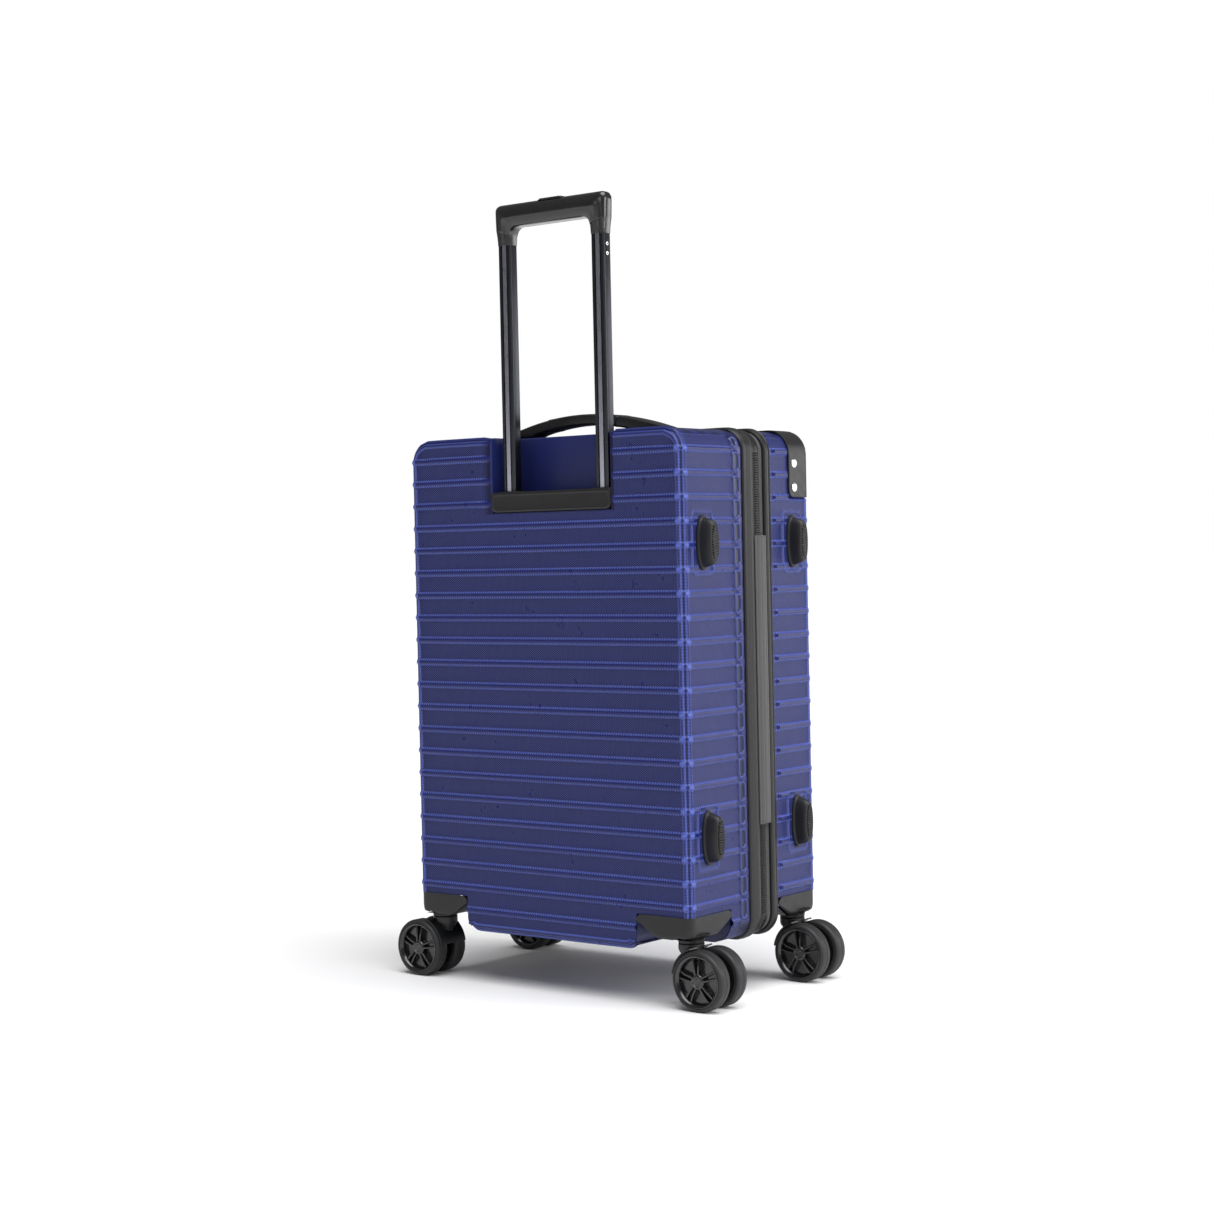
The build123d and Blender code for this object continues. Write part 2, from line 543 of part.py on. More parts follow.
def caster_pieces():
    """Solids of one caster that trails along +X from a swivel axis on Z."""
    axle = rod(3.0, (TRAIL, -19.5, WHEEL_RADIUS), (0, 1, 0), 39)
    stem = rod(4.0, (0, 0, 52), (0, 0, 1), 27) + rod(7.5, (0, 0, 76.3), (0, 0, 1), 3)
    hubs, tyres = [], []
    for side in (-1, 1):
        inner, outer = side * (WHEEL_INNER + 0.2), side * (WHEEL_OUTER - 0.6)
        y0, y1 = min(inner, outer), max(inner, outer)
        hub = rod(HUB_RADIUS, (TRAIL, y0, WHEEL_RADIUS), (0, 1, 0), y1 - y0)
        dish = wheel_ring(20.0, 7.5, side * 14, side * 23) if side > 0 else \
            wheel_ring(20.0, 7.5, side * 23, side * 14)
        hub -= dish
        hub -= rod(3.06, (TRAIL, 0, WHEEL_RADIUS), (0, side, 0), 19.8)
        hubs.append(hub)
        low, high = sorted((side * WHEEL_INNER, side * WHEEL_OUTER))
        tyre = rod(WHEEL_RADIUS, (TRAIL, low, WHEEL_RADIUS), (0, 1, 0), high - low)
        tyre = fillet(tyre.edges().filter_by(GeomType.CIRCLE), 2.2)
        tyre -= rod(HUB_RADIUS + 0.1, (TRAIL, low - 1, WHEEL_RADIUS), (0, 1, 0), high - low + 2)
        tyres.append(tyre)
    return {"fork": [caster_fork()], "pins": [axle, stem], "hubs": hubs, "tyres": tyres}


def make_casters():
    for name, facing in (("back", 1), ("front", -1)):
        save(f"{name}_caster_housings", *[housing(side, facing) for side in (-1, 1)])
    pieces = caster_pieces()
    for facing_name, facing in (("back", 1), ("front", -1)):
        for side_name, side in (("left", -1), ("right", 1)):
            turn = Rot(0, 0, 0 if side > 0 else 180)
            place = Pos(side * SWIVEL_X, facing * SWIVEL_Y, 0) * turn
            for piece, solids in pieces.items():
                save(f"caster_{facing_name}_{side_name}_{piece}",
                     *[place * solid for solid in solids])


os.makedirs("parts", exist_ok=True)
make_back_shell()
make_front_shell()
make_corner_guards()
make_zip_band()
make_linings()
make_trolley()
make_handles()
make_side_feet()
make_lock()
make_casters()
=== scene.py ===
import math

import bmesh
import bpy
import numpy as np
from mathutils import Matrix, Vector


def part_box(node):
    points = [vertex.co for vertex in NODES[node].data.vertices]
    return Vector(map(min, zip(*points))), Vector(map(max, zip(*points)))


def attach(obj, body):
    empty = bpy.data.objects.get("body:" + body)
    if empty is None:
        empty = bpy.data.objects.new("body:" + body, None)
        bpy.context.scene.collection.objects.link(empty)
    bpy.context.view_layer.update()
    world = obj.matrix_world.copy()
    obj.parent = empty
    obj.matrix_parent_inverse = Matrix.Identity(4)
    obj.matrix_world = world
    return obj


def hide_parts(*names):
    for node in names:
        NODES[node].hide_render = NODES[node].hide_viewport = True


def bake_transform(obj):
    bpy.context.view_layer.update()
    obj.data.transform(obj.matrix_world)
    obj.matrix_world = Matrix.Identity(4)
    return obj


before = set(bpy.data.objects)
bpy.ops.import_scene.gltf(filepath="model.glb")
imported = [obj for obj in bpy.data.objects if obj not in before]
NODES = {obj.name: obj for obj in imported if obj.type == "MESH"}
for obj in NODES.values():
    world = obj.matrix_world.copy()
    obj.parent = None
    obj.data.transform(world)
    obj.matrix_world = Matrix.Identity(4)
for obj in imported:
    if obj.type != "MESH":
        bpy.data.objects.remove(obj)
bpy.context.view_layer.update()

MM = 0.001                       # all shapes below are worked out in millimetres
CASTERS = [(end, side) for end in ("back", "front") for side in ("left", "right")]


def box_mm(node):
    """Lowest and highest corners of a CAD node, in millimetres."""
    low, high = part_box(node)
    return low / MM, high / MM


# ---------------------------------------------------------------- sizes read from the frame
SHELL_RISE = 2.4                             # the pattern stands out this far
RIB_DEPTH = 2.3
shell_low, shell_high = box_mm("back_shell")
SIDE = shell_high.x - SHELL_RISE             # half the width of the plain shell
FACE = shell_high.y - SHELL_RISE             # back panel; the lid's panel is at -FACE
BOTTOM, TOP = shell_low.z, shell_high.z
MIDDLE = (BOTTOM + TOP) / 2
HALF_HEIGHT = (TOP - BOTTOM) / 2
BACK_RIM, LID_RIM = shell_low.y, box_mm("front_shell")[1].y
CORNER = 22.0                                # radius of the outline's corners
EDGE = 7.5                                   # rounding round each panel
PITCH = 22.8
RIB_HALF = 3.5
RIBS = [530.6 - PITCH * i for i in range(21)]
WELL_LENGTH = 63.8                           # caster wells, from each side
WELL_DEPTH = 67.0
WELL_TOP = 88.0

bezel_low, bezel_high = box_mm("trolley_bezel")
RECESS_LEFT, RECESS_RIGHT = bezel_low.x - 0.3, bezel_high.x + 0.3
RECESS_DEPTH = 42.0
RECESS_FLOOR = bezel_low.z - 0.3
TROLLEY_X = (RECESS_LEFT + RECESS_RIGHT) / 2
tube_low, tube_high = box_mm("trolley_inner_tubes")
TUBE_Y = (tube_low.y + tube_high.y) / 2
TUBE_SPACING = tube_high.x - tube_low.x - 16.0
TUBES = [TROLLEY_X - TUBE_SPACING / 2, TROLLEY_X + TUBE_SPACING / 2]
foot_low, foot_high = box_mm("back_side_feet")
lid_foot_low, lid_foot_high = box_mm("front_side_feet")
FOOT_SIZE = (foot_high.y - foot_low.y, 52.0)
FEET_Z = (foot_low.z + FOOT_SIZE[1] / 2, foot_high.z - FOOT_SIZE[1] / 2)
guard_low, guard_high = box_mm("corner_guards")
GUARD_REACH = 42.0                           # along the top, from each side
ZIP_Y = -16.0


# ---------------------------------------------------------------- materials
def new_material(name, color, roughness, metallic=0.0, coat=0.0, sheen=0.0, specular=0.5):
    """A Principled material and the handles that its detail is wired to."""
    material = bpy.data.materials.new(name)
    material.use_nodes = True
    nodes, links = material.node_tree.nodes, material.node_tree.links
    shader = nodes["Principled BSDF"]
    shader.inputs["Base Color"].default_value = (*color, 1)
    shader.inputs["Roughness"].default_value = roughness
    shader.inputs["Metallic"].default_value = metallic
    shader.inputs["Coat Weight"].default_value = coat
    shader.inputs["Coat Roughness"].default_value = 0.25
    shader.inputs["Sheen Weight"].default_value = sheen
    shader.inputs["Specular IOR Level"].default_value = specular
    return material, nodes, links, shader


def noise(nodes, links, vector, scale, detail=4.0, roughness=0.55):
    node = nodes.new("ShaderNodeTexNoise")
    for key, value in (("Scale", scale), ("Detail", detail), ("Roughness", roughness)):
        node.inputs[key].default_value = value
    links.new(vector, node.inputs["Vector"])
    return node.outputs["Fac"]


def map_range(nodes, links, value, start, end, low, high):
    """Takes start..end to low..high, and stays at the ends outside."""
    node = nodes.new("ShaderNodeMapRange")
    for key, amount in (("From Min", start), ("From Max", end), ("To Min", low),
                        ("To Max", high)):
        node.inputs[key].default_value = amount
    links.new(value, node.inputs["Value"])
    return node


def remap(nodes, links, value, low, high):
    """The usual span of a noise, taken to low..high."""
    return map_range(nodes, links, value, 0.25, 0.75, low, high).outputs["Result"]


def falloff(nodes, links, value, near, far):
    """1 where the value is below near, 0 where it is above far."""
    node = map_range(nodes, links, value, near, far, 1.0, 0.0)
    node.interpolation_type = "SMOOTHSTEP"
    return node.outputs["Result"]


def math_node(nodes, links, operation, a, b=None):
    node = nodes.new("ShaderNodeMath")
    node.operation = operation
    for socket, value in zip(node.inputs, (a, b)):
        if isinstance(value, (int, float)):
            socket.default_value = value
        elif value is not None:
            links.new(value, socket)
    return node.outputs[0]


def tint(nodes, links, fac, dark, light, blend="MIX"):
    """Colour between dark and light; each is a colour or the output of a node."""
    node = nodes.new("ShaderNodeMix")
    node.data_type = "RGBA"
    node.blend_type = blend
    for socket, value in ((0, fac), (6, dark), (7, light)):
        if isinstance(value, tuple):
            node.inputs[socket].default_value = (*value, 1)
        elif isinstance(value, float):
            node.inputs[socket].default_value = value
        else:
            links.new(value, node.inputs[socket])
    return node.outputs[2]


def bump(nodes, links, height, shader, distance, strength=1.0, edge=0.0):
    """Bump from a height, on top of softened edges where edge is a radius in metres."""
    node = nodes.new("ShaderNodeBump")
    node.inputs["Distance"].default_value = distance
    node.inputs["Strength"].default_value = strength
    links.new(height, node.inputs["Height"])
    if edge:
        soft = nodes.new("ShaderNodeBevel")
        soft.samples = 6
        soft.inputs["Radius"].default_value = edge
        links.new(soft.outputs["Normal"], node.inputs["Normal"])
    links.new(node.outputs["Normal"], shader.inputs["Normal"])


def position(nodes):
    return nodes.new("ShaderNodeTexCoord").outputs["Object"]


def attribute(nodes, name):
    node = nodes.new("ShaderNodeAttribute")
    node.attribute_name = name
    return node.outputs["Fac"]


def shell_pattern(nodes, links):
    """Diamond hatching and the beaded edges of the ribs and bars: height, the hatch mask that
    the colour paints dark in the hollows and light on the diamonds (painted shade and
    highlight), the painted-highlight mask of the beads and bar crossings, and the rib and bar
    mask.
    """
    def calc(operation, a, b=None):
        return math_node(nodes, links, operation, a, b)

    uv = nodes.new("ShaderNodeUVMap")
    uv.uv_map = "pattern"
    split = nodes.new("ShaderNodeSeparateXYZ")
    links.new(uv.outputs["UV"], split.inputs[0])
    u, v = split.outputs[0], split.outputs[1]
    wave = 2 * math.pi / 0.0030
    across = calc("MULTIPLY", u, wave)
    up = calc("MULTIPLY", v, 1.5 * wave)
    one = calc("SINE", calc("ADD", across, up))
    two = calc("SINE", calc("SUBTRACT", across, up))
    hatch = calc("ADD", calc("MULTIPLY", calc("MINIMUM", one, two), 0.5), 0.5)

    # distance from the nearest rib's centre line, in millimetres
    turns = calc("DIVIDE", calc("SUBTRACT", v, RIBS[0] * MM), PITCH * MM)
    rib = calc("MULTIPLY", calc("ABSOLUTE", calc("SUBTRACT", turns, calc("ROUND", turns))),
               PITCH)
    bead_u = calc("ADD", calc("MULTIPLY", calc("SINE", across), 0.5), 0.5)
    rib_edge = falloff(nodes, links, calc("ABSOLUTE", calc("SUBTRACT", rib, 2.7)), 0.5, 1.5)
    line = attribute(nodes, "edge_line")
    bar = calc("ABSOLUTE", calc("SUBTRACT", line, 4.25))
    bar_edge = falloff(nodes, links, calc("ABSOLUTE", calc("SUBTRACT", bar, 1.9)), 0.5, 1.4)
    bead_v = calc("ADD", calc("MULTIPLY", calc("SINE", calc("MULTIPLY", v, wave)), 0.2), 0.6)
    top_rib = falloff(nodes, links, rib, 1.2, 2.4)
    beads = calc("MAXIMUM", calc("MULTIPLY", rib_edge, bead_u),
                 calc("MULTIPLY", bar_edge, bead_v))
    on_rib = falloff(nodes, links, rib, 2.2, 3.6)
    textured = calc("SUBTRACT", 1.0, attribute(nodes, "plain"))
    cell = calc("MULTIPLY", hatch, calc("SUBTRACT", 1.0, calc("MULTIPLY", on_rib, 0.75)))
    height = calc("MULTIPLY", textured, calc("ADD", cell, calc("MULTIPLY", beads, 1.4)))
    on_bar = falloff(nodes, links, bar, 1.6, 3.0)
    # knot and bright only colour the shell: painted highlights on the rib beads and where
    # bars cross ribs
    knot = calc("MULTIPLY", on_bar, top_rib)
    bright = calc("MAXIMUM", beads, calc("MULTIPLY", knot, 0.9))
    return height, calc("MULTIPLY", textured, hatch), calc("MULTIPLY", textured, bright), \
        calc("MAXIMUM", on_rib, on_bar)


def shell_material():
    """Blue moulded shell: diamond texture with painted shade in its hollows and a painted
    highlight on its diamonds, painted highlights on the rib beads, bar crossings and raised
    loops, fine scuffs.
    """
    material, nodes, links, shader = new_material("shell_blue", (0.02, 0.026, 0.13), 0.3,
                                                  coat=0.08, specular=0.32)
    height, hatch, bright, raised = shell_pattern(nodes, links)
    place = position(nodes)
    cloud = noise(nodes, links, place, 9.0)
    # painted shade and highlight: the hatch hollows are coloured dark and the raised diamonds
    # light
    base = tint(nodes, links, hatch, (0.0025, 0.0035, 0.034), (0.04, 0.058, 0.3))
    lifted = tint(nodes, links, raised, base, (0.006, 0.010, 0.095))
    # painted highlight along the raised slot loops and foot outlines
    loops = math_node(nodes, links, "MULTIPLY", attribute(nodes, "raised"), 0.22)
    # painted highlights on the beads, bar crossings and loops, mixed into the colour below
    painted_highlight = math_node(nodes, links, "MAXIMUM",
                     math_node(nodes, links, "MULTIPLY", bright, 0.6), loops)
    highlighted_base = tint(nodes, links, painted_highlight, lifted, (0.13, 0.19, 0.7))
    wear = tint(nodes, links, cloud, (0.75, 0.75, 0.78), (1.0, 1.0, 1.0))
    links.new(tint(nodes, links, 0.3, highlighted_base, wear, "MULTIPLY"),
              shader.inputs["Base Color"])
    links.new(remap(nodes, links, noise(nodes, links, place, 60.0), 0.26, 0.38),
              shader.inputs["Roughness"])
    bump(nodes, links, height, shader, 0.00045, 0.9)
    return material


def smooth_shell_material():
    """The recess walls of the shell, plain and satin."""
    material, nodes, links, shader = new_material("shell_smooth", (0.02, 0.026, 0.12), 0.36,
                                                  coat=0.1, specular=0.4)
    place = position(nodes)
    cloud = noise(nodes, links, place, 14.0)
    links.new(tint(nodes, links, cloud, (0.008, 0.013, 0.085), (0.012, 0.019, 0.115)),
              shader.inputs["Base Color"])
    links.new(remap(nodes, links, noise(nodes, links, place, 90.0), 0.36, 0.46),
              shader.inputs["Roughness"])
    bump(nodes, links, noise(nodes, links, place, 2600.0), shader, 0.00008, 0.5)
    return material


def moulded_material(name, color, roughness, grain=1500.0, depth=0.00006, coat=0.0,
                     edge=0.0004, specular=0.35):
    """Moulded plastic or rubber: fine grain, uneven gloss, softened edges."""
    material, nodes, links, shader = new_material(name, color, roughness, coat=coat,
                                                  specular=specular)
    place = position(nodes)
    cloud = noise(nodes, links, place, 35.0)
    light = tuple(min(1.0, c * 1.3 + 0.001) for c in color)
    dark = tuple(c * 0.8 for c in color)
    links.new(tint(nodes, links, cloud, dark, light), shader.inputs["Base Color"])
    links.new(remap(nodes, links, noise(nodes, links, place, 120.0), roughness - 0.06,
                    roughness + 0.08), shader.inputs["Roughness"])
    bump(nodes, links, noise(nodes, links, place, grain, 2.0), shader, depth, 0.7, edge)
    return material


def metal_material(name, color, roughness, stretch=(400.0, 400.0, 12.0), edge=0.0002):
    """Drawn or turned metal: streaks along one direction."""
    material, nodes, links, shader = new_material(name, color, roughness, metallic=1.0)
    mapping = nodes.new("ShaderNodeMapping")
    mapping.inputs["Scale"].default_value = stretch
    links.new(position(nodes), mapping.inputs["Vector"])
    streak = noise(nodes, links, mapping.outputs["Vector"], 4.0, 3.0)
    links.new(remap(nodes, links, streak, roughness - 0.05, roughness + 0.1),
              shader.inputs["Roughness"])
    light = tuple(min(1.0, c * 1.25) for c in color)
    links.new(tint(nodes, links, streak, color, light), shader.inputs["Base Color"])
    bump(nodes, links, streak, shader, 0.00003, 0.4, edge)
    return material


def woven_material(name, dark, light, pitch=0.0009, roughness=0.85, sheen=0.3):
    """Plain weave by crossing waves in object space."""
    material, nodes, links, shader = new_material(name, dark, roughness, sheen=sheen)
    place = position(nodes)
    split = nodes.new("ShaderNodeSeparateXYZ")
    links.new(place, split.inputs[0])
    wave = 2 * math.pi / pitch
    across = math_node(nodes, links, "ADD", split.outputs[0], split.outputs[1])
    one = math_node(nodes, links, "SINE", math_node(nodes, links, "MULTIPLY", across, wave))
    two = math_node(nodes, links, "SINE",
                    math_node(nodes, links, "MULTIPLY", split.outputs[2], wave))
    weave = math_node(nodes, links, "MULTIPLY", one, two)
    fac = math_node(nodes, links, "MULTIPLY_ADD", weave, 0.5)
    fac.node.inputs[2].default_value = 0.5
    cloud = noise(nodes, links, place, 25.0)
    mixed = math_node(nodes, links, "MULTIPLY", fac, cloud)
    links.new(tint(nodes, links, mixed, dark, light), shader.inputs["Base Color"])
    bump(nodes, links, fac, shader, 0.0002, 0.8)
    return material


MATERIALS = {
    "shell_blue": shell_material(),
    "shell_smooth": smooth_shell_material(),
    "black_plastic": moulded_material("black_plastic", (0.010, 0.010, 0.011), 0.4),
    "gloss_black": moulded_material("gloss_black", (0.006, 0.006, 0.007), 0.2,
                                    depth=0.00001, coat=0.4, edge=0.0005,
                                    specular=0.5),
    "soft_rubber": moulded_material("soft_rubber", (0.009, 0.009, 0.010), 0.42,
                                    grain=900.0),
    "soft_black": moulded_material("soft_black", (0.007, 0.007, 0.008), 0.34,
                                   grain=1200.0, coat=0.1),
    "edge_rubber": moulded_material("edge_rubber", (0.012, 0.012, 0.013), 0.36,
                                    grain=700.0, edge=0.0),
    "tyre_rubber": moulded_material("tyre_rubber", (0.016, 0.016, 0.017), 0.5,
                                    grain=1100.0, edge=0.0),
    "zip_fabric": woven_material("zip_fabric", (0.004, 0.004, 0.005), (0.018, 0.018, 0.019)),
    "zip_coil": moulded_material("zip_coil", (0.010, 0.010, 0.011), 0.34, edge=0.0),
    "lining_fabric": woven_material("lining_fabric", (0.05, 0.05, 0.058),
                                    (0.15, 0.15, 0.165), pitch=0.0016),
    "mesh_fabric": woven_material("mesh_fabric", (0.006, 0.006, 0.007),
                                  (0.07, 0.07, 0.075), pitch=0.003),
    "strap_web": woven_material("strap_web", (0.012, 0.012, 0.013), (0.05, 0.05, 0.052),
                                pitch=0.0014),
    "hinge_web": woven_material("hinge_web", (0.010, 0.010, 0.0105), (0.034, 0.033, 0.033),
                                pitch=0.0012, roughness=0.7),
    "black_aluminium": metal_material("black_aluminium", (0.045, 0.047, 0.054), 0.3),
    "tube_stripe": metal_material("tube_stripe", (0.36, 0.36, 0.42), 0.26),
    "steel": metal_material("steel", (0.5, 0.5, 0.5), 0.32, (300.0, 300.0, 300.0)),
    "chrome": metal_material("chrome", (0.75, 0.74, 0.72), 0.22, (200.0, 200.0, 200.0)),
}


# ---------------------------------------------------------------- mesh helpers
def finish_piece(obj, body, replaces=(), sharp=35.0):
    """Shading, body and the CAD nodes that the piece stands for."""
    obj.data.shade_smooth()
    obj.data.set_sharp_from_angle(angle=math.radians(sharp))
    if body:
        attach(obj, body)
    if replaces:
        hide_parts(*replaces)
    return obj


def from_arrays(name, points, faces, materials, face_material=None):
    """Mesh object from points in millimetres and polygons."""
    mesh = bpy.data.meshes.new(name)
    mesh.from_pydata((np.asarray(points, float) * MM).tolist(), [],
                     [list(map(int, face)) for face in faces])
    for key in materials:
        mesh.materials.append(MATERIALS[key])
    if face_material is not None:
        mesh.polygons.foreach_set("material_index", np.asarray(face_material, np.int32))
    mesh.validate()
    mesh.update()
    obj = bpy.data.objects.new(name, mesh)
    bpy.context.scene.collection.objects.link(obj)
    return obj


def from_bmesh(name, bm, materials):
    bmesh.ops.recalc_face_normals(bm, faces=bm.faces)
    mesh = bpy.data.meshes.new(name)
    bm.to_mesh(mesh)
    bm.free()
    mesh.transform(Matrix.Scale(MM, 4))
    for key in materials:
        mesh.materials.append(MATERIALS[key])
    obj = bpy.data.objects.new(name, mesh)
    bpy.context.scene.collection.objects.link(obj)
    return obj


def apply_modifier(obj, kind, **settings):
    """Adds a modifier and bakes its result into the mesh."""
    modifier = obj.modifiers.new(kind, kind)
    for key, value in settings.items():
        setattr(modifier, key, value)
    graph = bpy.context.evaluated_depsgraph_get()
    mesh = bpy.data.meshes.new_from_object(obj.evaluated_get(graph))
    obj.modifiers.clear()
    old = obj.data
    obj.data = mesh
    bpy.data.meshes.remove(old)


def discard(obj):
    """Removes an object and its mesh."""
    mesh = obj.data
    bpy.data.objects.remove(obj)
    bpy.data.meshes.remove(mesh)


def carve(obj, bm, material):
    """Cuts the solids held in the bmesh out of a piece."""
    cutter = from_bmesh("cutter", bm, [material])
    apply_modifier(obj, "BOOLEAN", operation="DIFFERENCE", object=cutter, solver="EXACT")
    discard(cutter)


def bevel_sharp(bm, width, segments=3, angle=30.0):
    """Rounds every edge sharper than the angle."""
    edges = [e for e in bm.edges
             if len(e.link_faces) == 2 and e.calc_face_angle() > math.radians(angle)]
    bmesh.ops.bevel(bm, geom=edges, offset=width, segments=segments, profile=0.5,
                    affect="EDGES", clamp_overlap=True)


def add_box(bm, low, high):
    made = bmesh.ops.create_cube(bm, size=1.0)["verts"]
    size = [high[i] - low[i] for i in range(3)]
    middle = [(high[i] + low[i]) / 2 for i in range(3)]
    for vert in made:
        vert.co = Vector([vert.co[i] * size[i] + middle[i] for i in range(3)])
    return made


def bridge(bm, rings, closed=True, caps=False):
    """Joins neighbouring rings of vertices with faces, and can fill both ends."""
    for a, b in zip(rings, rings[1:]):
        for i in range(len(a) if closed else len(a) - 1):
            j = (i + 1) % len(a)
            bm.faces.new((a[i], a[j], b[j], b[i]))
    if caps:
        bm.faces.new(rings[0])
        bm.faces.new(rings[-1])


def add_bar(bm, low, high, rounding):
    """Small moulded bar with rounded edges."""
    made = add_box(bm, low, high)
    edges = list({e for v in made for e in v.link_edges})
    bmesh.ops.bevel(bm, geom=edges, offset=rounding, segments=1, affect="EDGES")


def add_prism(bm, outline, place, depth):
    """Prism of a flat outline; place turns (u, v, w) in millimetres into a point."""
    low = [bm.verts.new(place(u, v, 0.0)) for u, v in outline]
    high = [bm.verts.new(place(u, v, depth)) for u, v in outline]
    bm.faces.new(low)
    bm.faces.new(list(reversed(high)))
    for i in range(len(outline)):
        j = (i + 1) % len(outline)
        bm.faces.new((low[i], high[i], high[j], low[j]))
    return low + high


def add_lathe(bm, profile, centre, axis, steps=48, closed=False):
    """Turns a profile of (distance along axis, radius) about an axis."""
    axis = Vector(axis).normalized()
    side = axis.orthogonal().normalized()
    up = axis.cross(side)
    rings = []
    for along, radius in profile:
        ring = []
        for i in range(steps):
            angle = 2 * math.pi * i / steps
            ray = side * math.cos(angle) + up * math.sin(angle)
            ring.append(bm.verts.new(Vector(centre) + axis * along + ray * radius))
        rings.append(ring)
    bridge(bm, rings + ([rings[0]] if closed else []), caps=not closed)


def rounded_outline(half_u, half_v, radius, steps=6):
    """Rounded rectangle about the origin, anticlockwise."""
    points = []
    for quarter, (su, sv) in enumerate(((1, 1), (-1, 1), (-1, -1), (1, -1))):
        for i in range(steps + 1):
            angle = math.pi / 2 * (quarter + i / steps)
            points.append((su * (half_u - radius) + radius * math.cos(angle),
                           sv * (half_v - radius) + radius * math.sin(angle)))
    return points


def case_outline(offset, arc_steps=10, straight_step=30.0):
    """Closed loop round the case: points (x, z) and outward normals (nx, nz)."""
    points, normals = [], []
    radius = CORNER + offset
    half_x, half_z = SIDE + offset, HALF_HEIGHT + offset
    corners = ((1, 1), (-1, 1), (-1, -1), (1, -1))
    for quarter, (sx, sz) in enumerate(corners):
        centre = (sx * (half_x - radius), MIDDLE + sz * (half_z - radius))
        for i in range(arc_steps + 1):
            angle = math.pi / 2 * (quarter + i / arc_steps)
            n = (math.cos(angle), math.sin(angle))
            points.append((centre[0] + radius * n[0], centre[1] + radius * n[1]))
            normals.append(n)
        nx, nz = corners[(quarter + 1) % 4]
        end = (nx * (half_x - radius), MIDDLE + nz * (half_z - radius))
        n = normals[-1]
        start = points[-1]
        goal = (end[0] + radius * n[0], end[1] + radius * n[1])
        length = math.dist(start, goal)
        count = max(1, int(length / straight_step))
        for i in range(1, count):
            t = i / count
            points.append((start[0] + (goal[0] - start[0]) * t,
                           start[1] + (goal[1] - start[1]) * t))
            normals.append(n)
    return np.array(points), np.array(normals)


def swept_ring(profile, arc_steps=10, straight_step=30.0):
    """Closed profile of (outwards, y) swept round the case: points and quads."""
    base, normal = case_outline(0.0, arc_steps, straight_step)
    count, width = len(base), len(profile)
    points = np.zeros((count, width, 3))
    for k, (out, y) in enumerate(profile):
        points[:, k, 0] = base[:, 0] + normal[:, 0] * out
        points[:, k, 2] = base[:, 1] + normal[:, 1] * out
        points[:, k, 1] = y
    faces = []
    for i in range(count):
        j = (i + 1) % count
        for k in range(width):
            m = (k + 1) % width
            faces.append((i * width + k, i * width + m, j * width + m, j * width + k))
    return points.reshape(-1, 3), faces


# ---------------------------------------------------------------- the two ribbed shells
def skin_point(u, v, depth, facing, offset=0.0):
    """Point of a shell, offset outwards. The face has depth None and the walls a depth."""
    cu = np.clip(u, -(SIDE - CORNER), SIDE - CORNER)
    cv = np.clip(v, -(HALF_HEIGHT - CORNER), HALF_HEIGHT - CORNER)
    du, dv = u - cu, v - cv
    reach = np.maximum(np.abs(du), np.abs(dv))
    length = np.hypot(du, dv)
    safe = np.where(length > 1e-9, length, 1.0)
    nu, nv = du / safe, dv / safe
    if depth is None:
        q = CORNER - reach
        phi = np.where(q < EDGE, (1 - q / EDGE) * math.pi / 4, 0.0)
        inset = np.where(q < EDGE, EDGE * (1 - np.sin(phi)), q)
        down = np.where(q < EDGE, EDGE * (1 - np.cos(phi)), 0.0)
    else:
        phi = np.where(depth < EDGE, math.pi / 4 * (1 + depth / EDGE), math.pi / 2)
        inset = np.where(depth < EDGE, EDGE * (1 - np.sin(phi)), 0.0)
        down = np.where(depth < EDGE, EDGE * (1 - np.cos(phi)), depth)
    radius = np.where(length > 1e-9, CORNER - inset, 0.0)
    normal = np.stack([nu * np.sin(phi), facing * np.cos(phi), nv * np.sin(phi)], -1)
    point = np.stack([cu + nu * radius, facing * (FACE - down), MIDDLE + cv + nv * radius],
                     -1)
    return point + normal * (offset[..., None] if isinstance(offset, np.ndarray)
                             else offset)


def round_beside_well(x, z, depth):
    """Rounds the lower corner of the shell beside a caster."""
    radius = 13.0
    across = np.abs(x) - (SIDE - WELL_LENGTH - radius)
    down = BOTTOM + radius - z
    inside = (across > 0) & (across < radius + 0.3) & (down > 0)
    length = np.where(inside, np.hypot(across, down), 1.0)
    shrink = np.where(inside, np.maximum(across, down) / length - 1, 0.0)
    shrink = shrink * np.clip((WELL_DEPTH - depth) / 12, 0, 1)
    return x + np.sign(x) * across * shrink, z - down * shrink


def hump(distance, half, power=0.75):
    """Rounded bar cross-section, 1 on its centre line and 0 at its edges."""
    s = np.clip(np.abs(distance) / half, 0, 1)
    return (1 - s * s) ** power


def loop_line(u, v, half_u, half_v, radius, width):
    """Raised line round a rounded rectangle."""
    qu = np.abs(u) - (half_u - radius)
    qv = np.abs(v) - (half_v - radius)
    distance = np.hypot(np.maximum(qu, 0), np.maximum(qv, 0)) \
        + np.minimum(np.maximum(qu, qv), 0) - radius
    return hump(distance, width)


def soft_window(value, low, high, blend):
    """1 between low and high, falling to 0 over the blend outside."""
    below = np.clip((value - low) / blend + 1, 0, 1)
    above = np.clip((high - value) / blend + 1, 0, 1)
    mix = np.minimum(below, above)
    return mix * mix * (3 - 2 * mix)


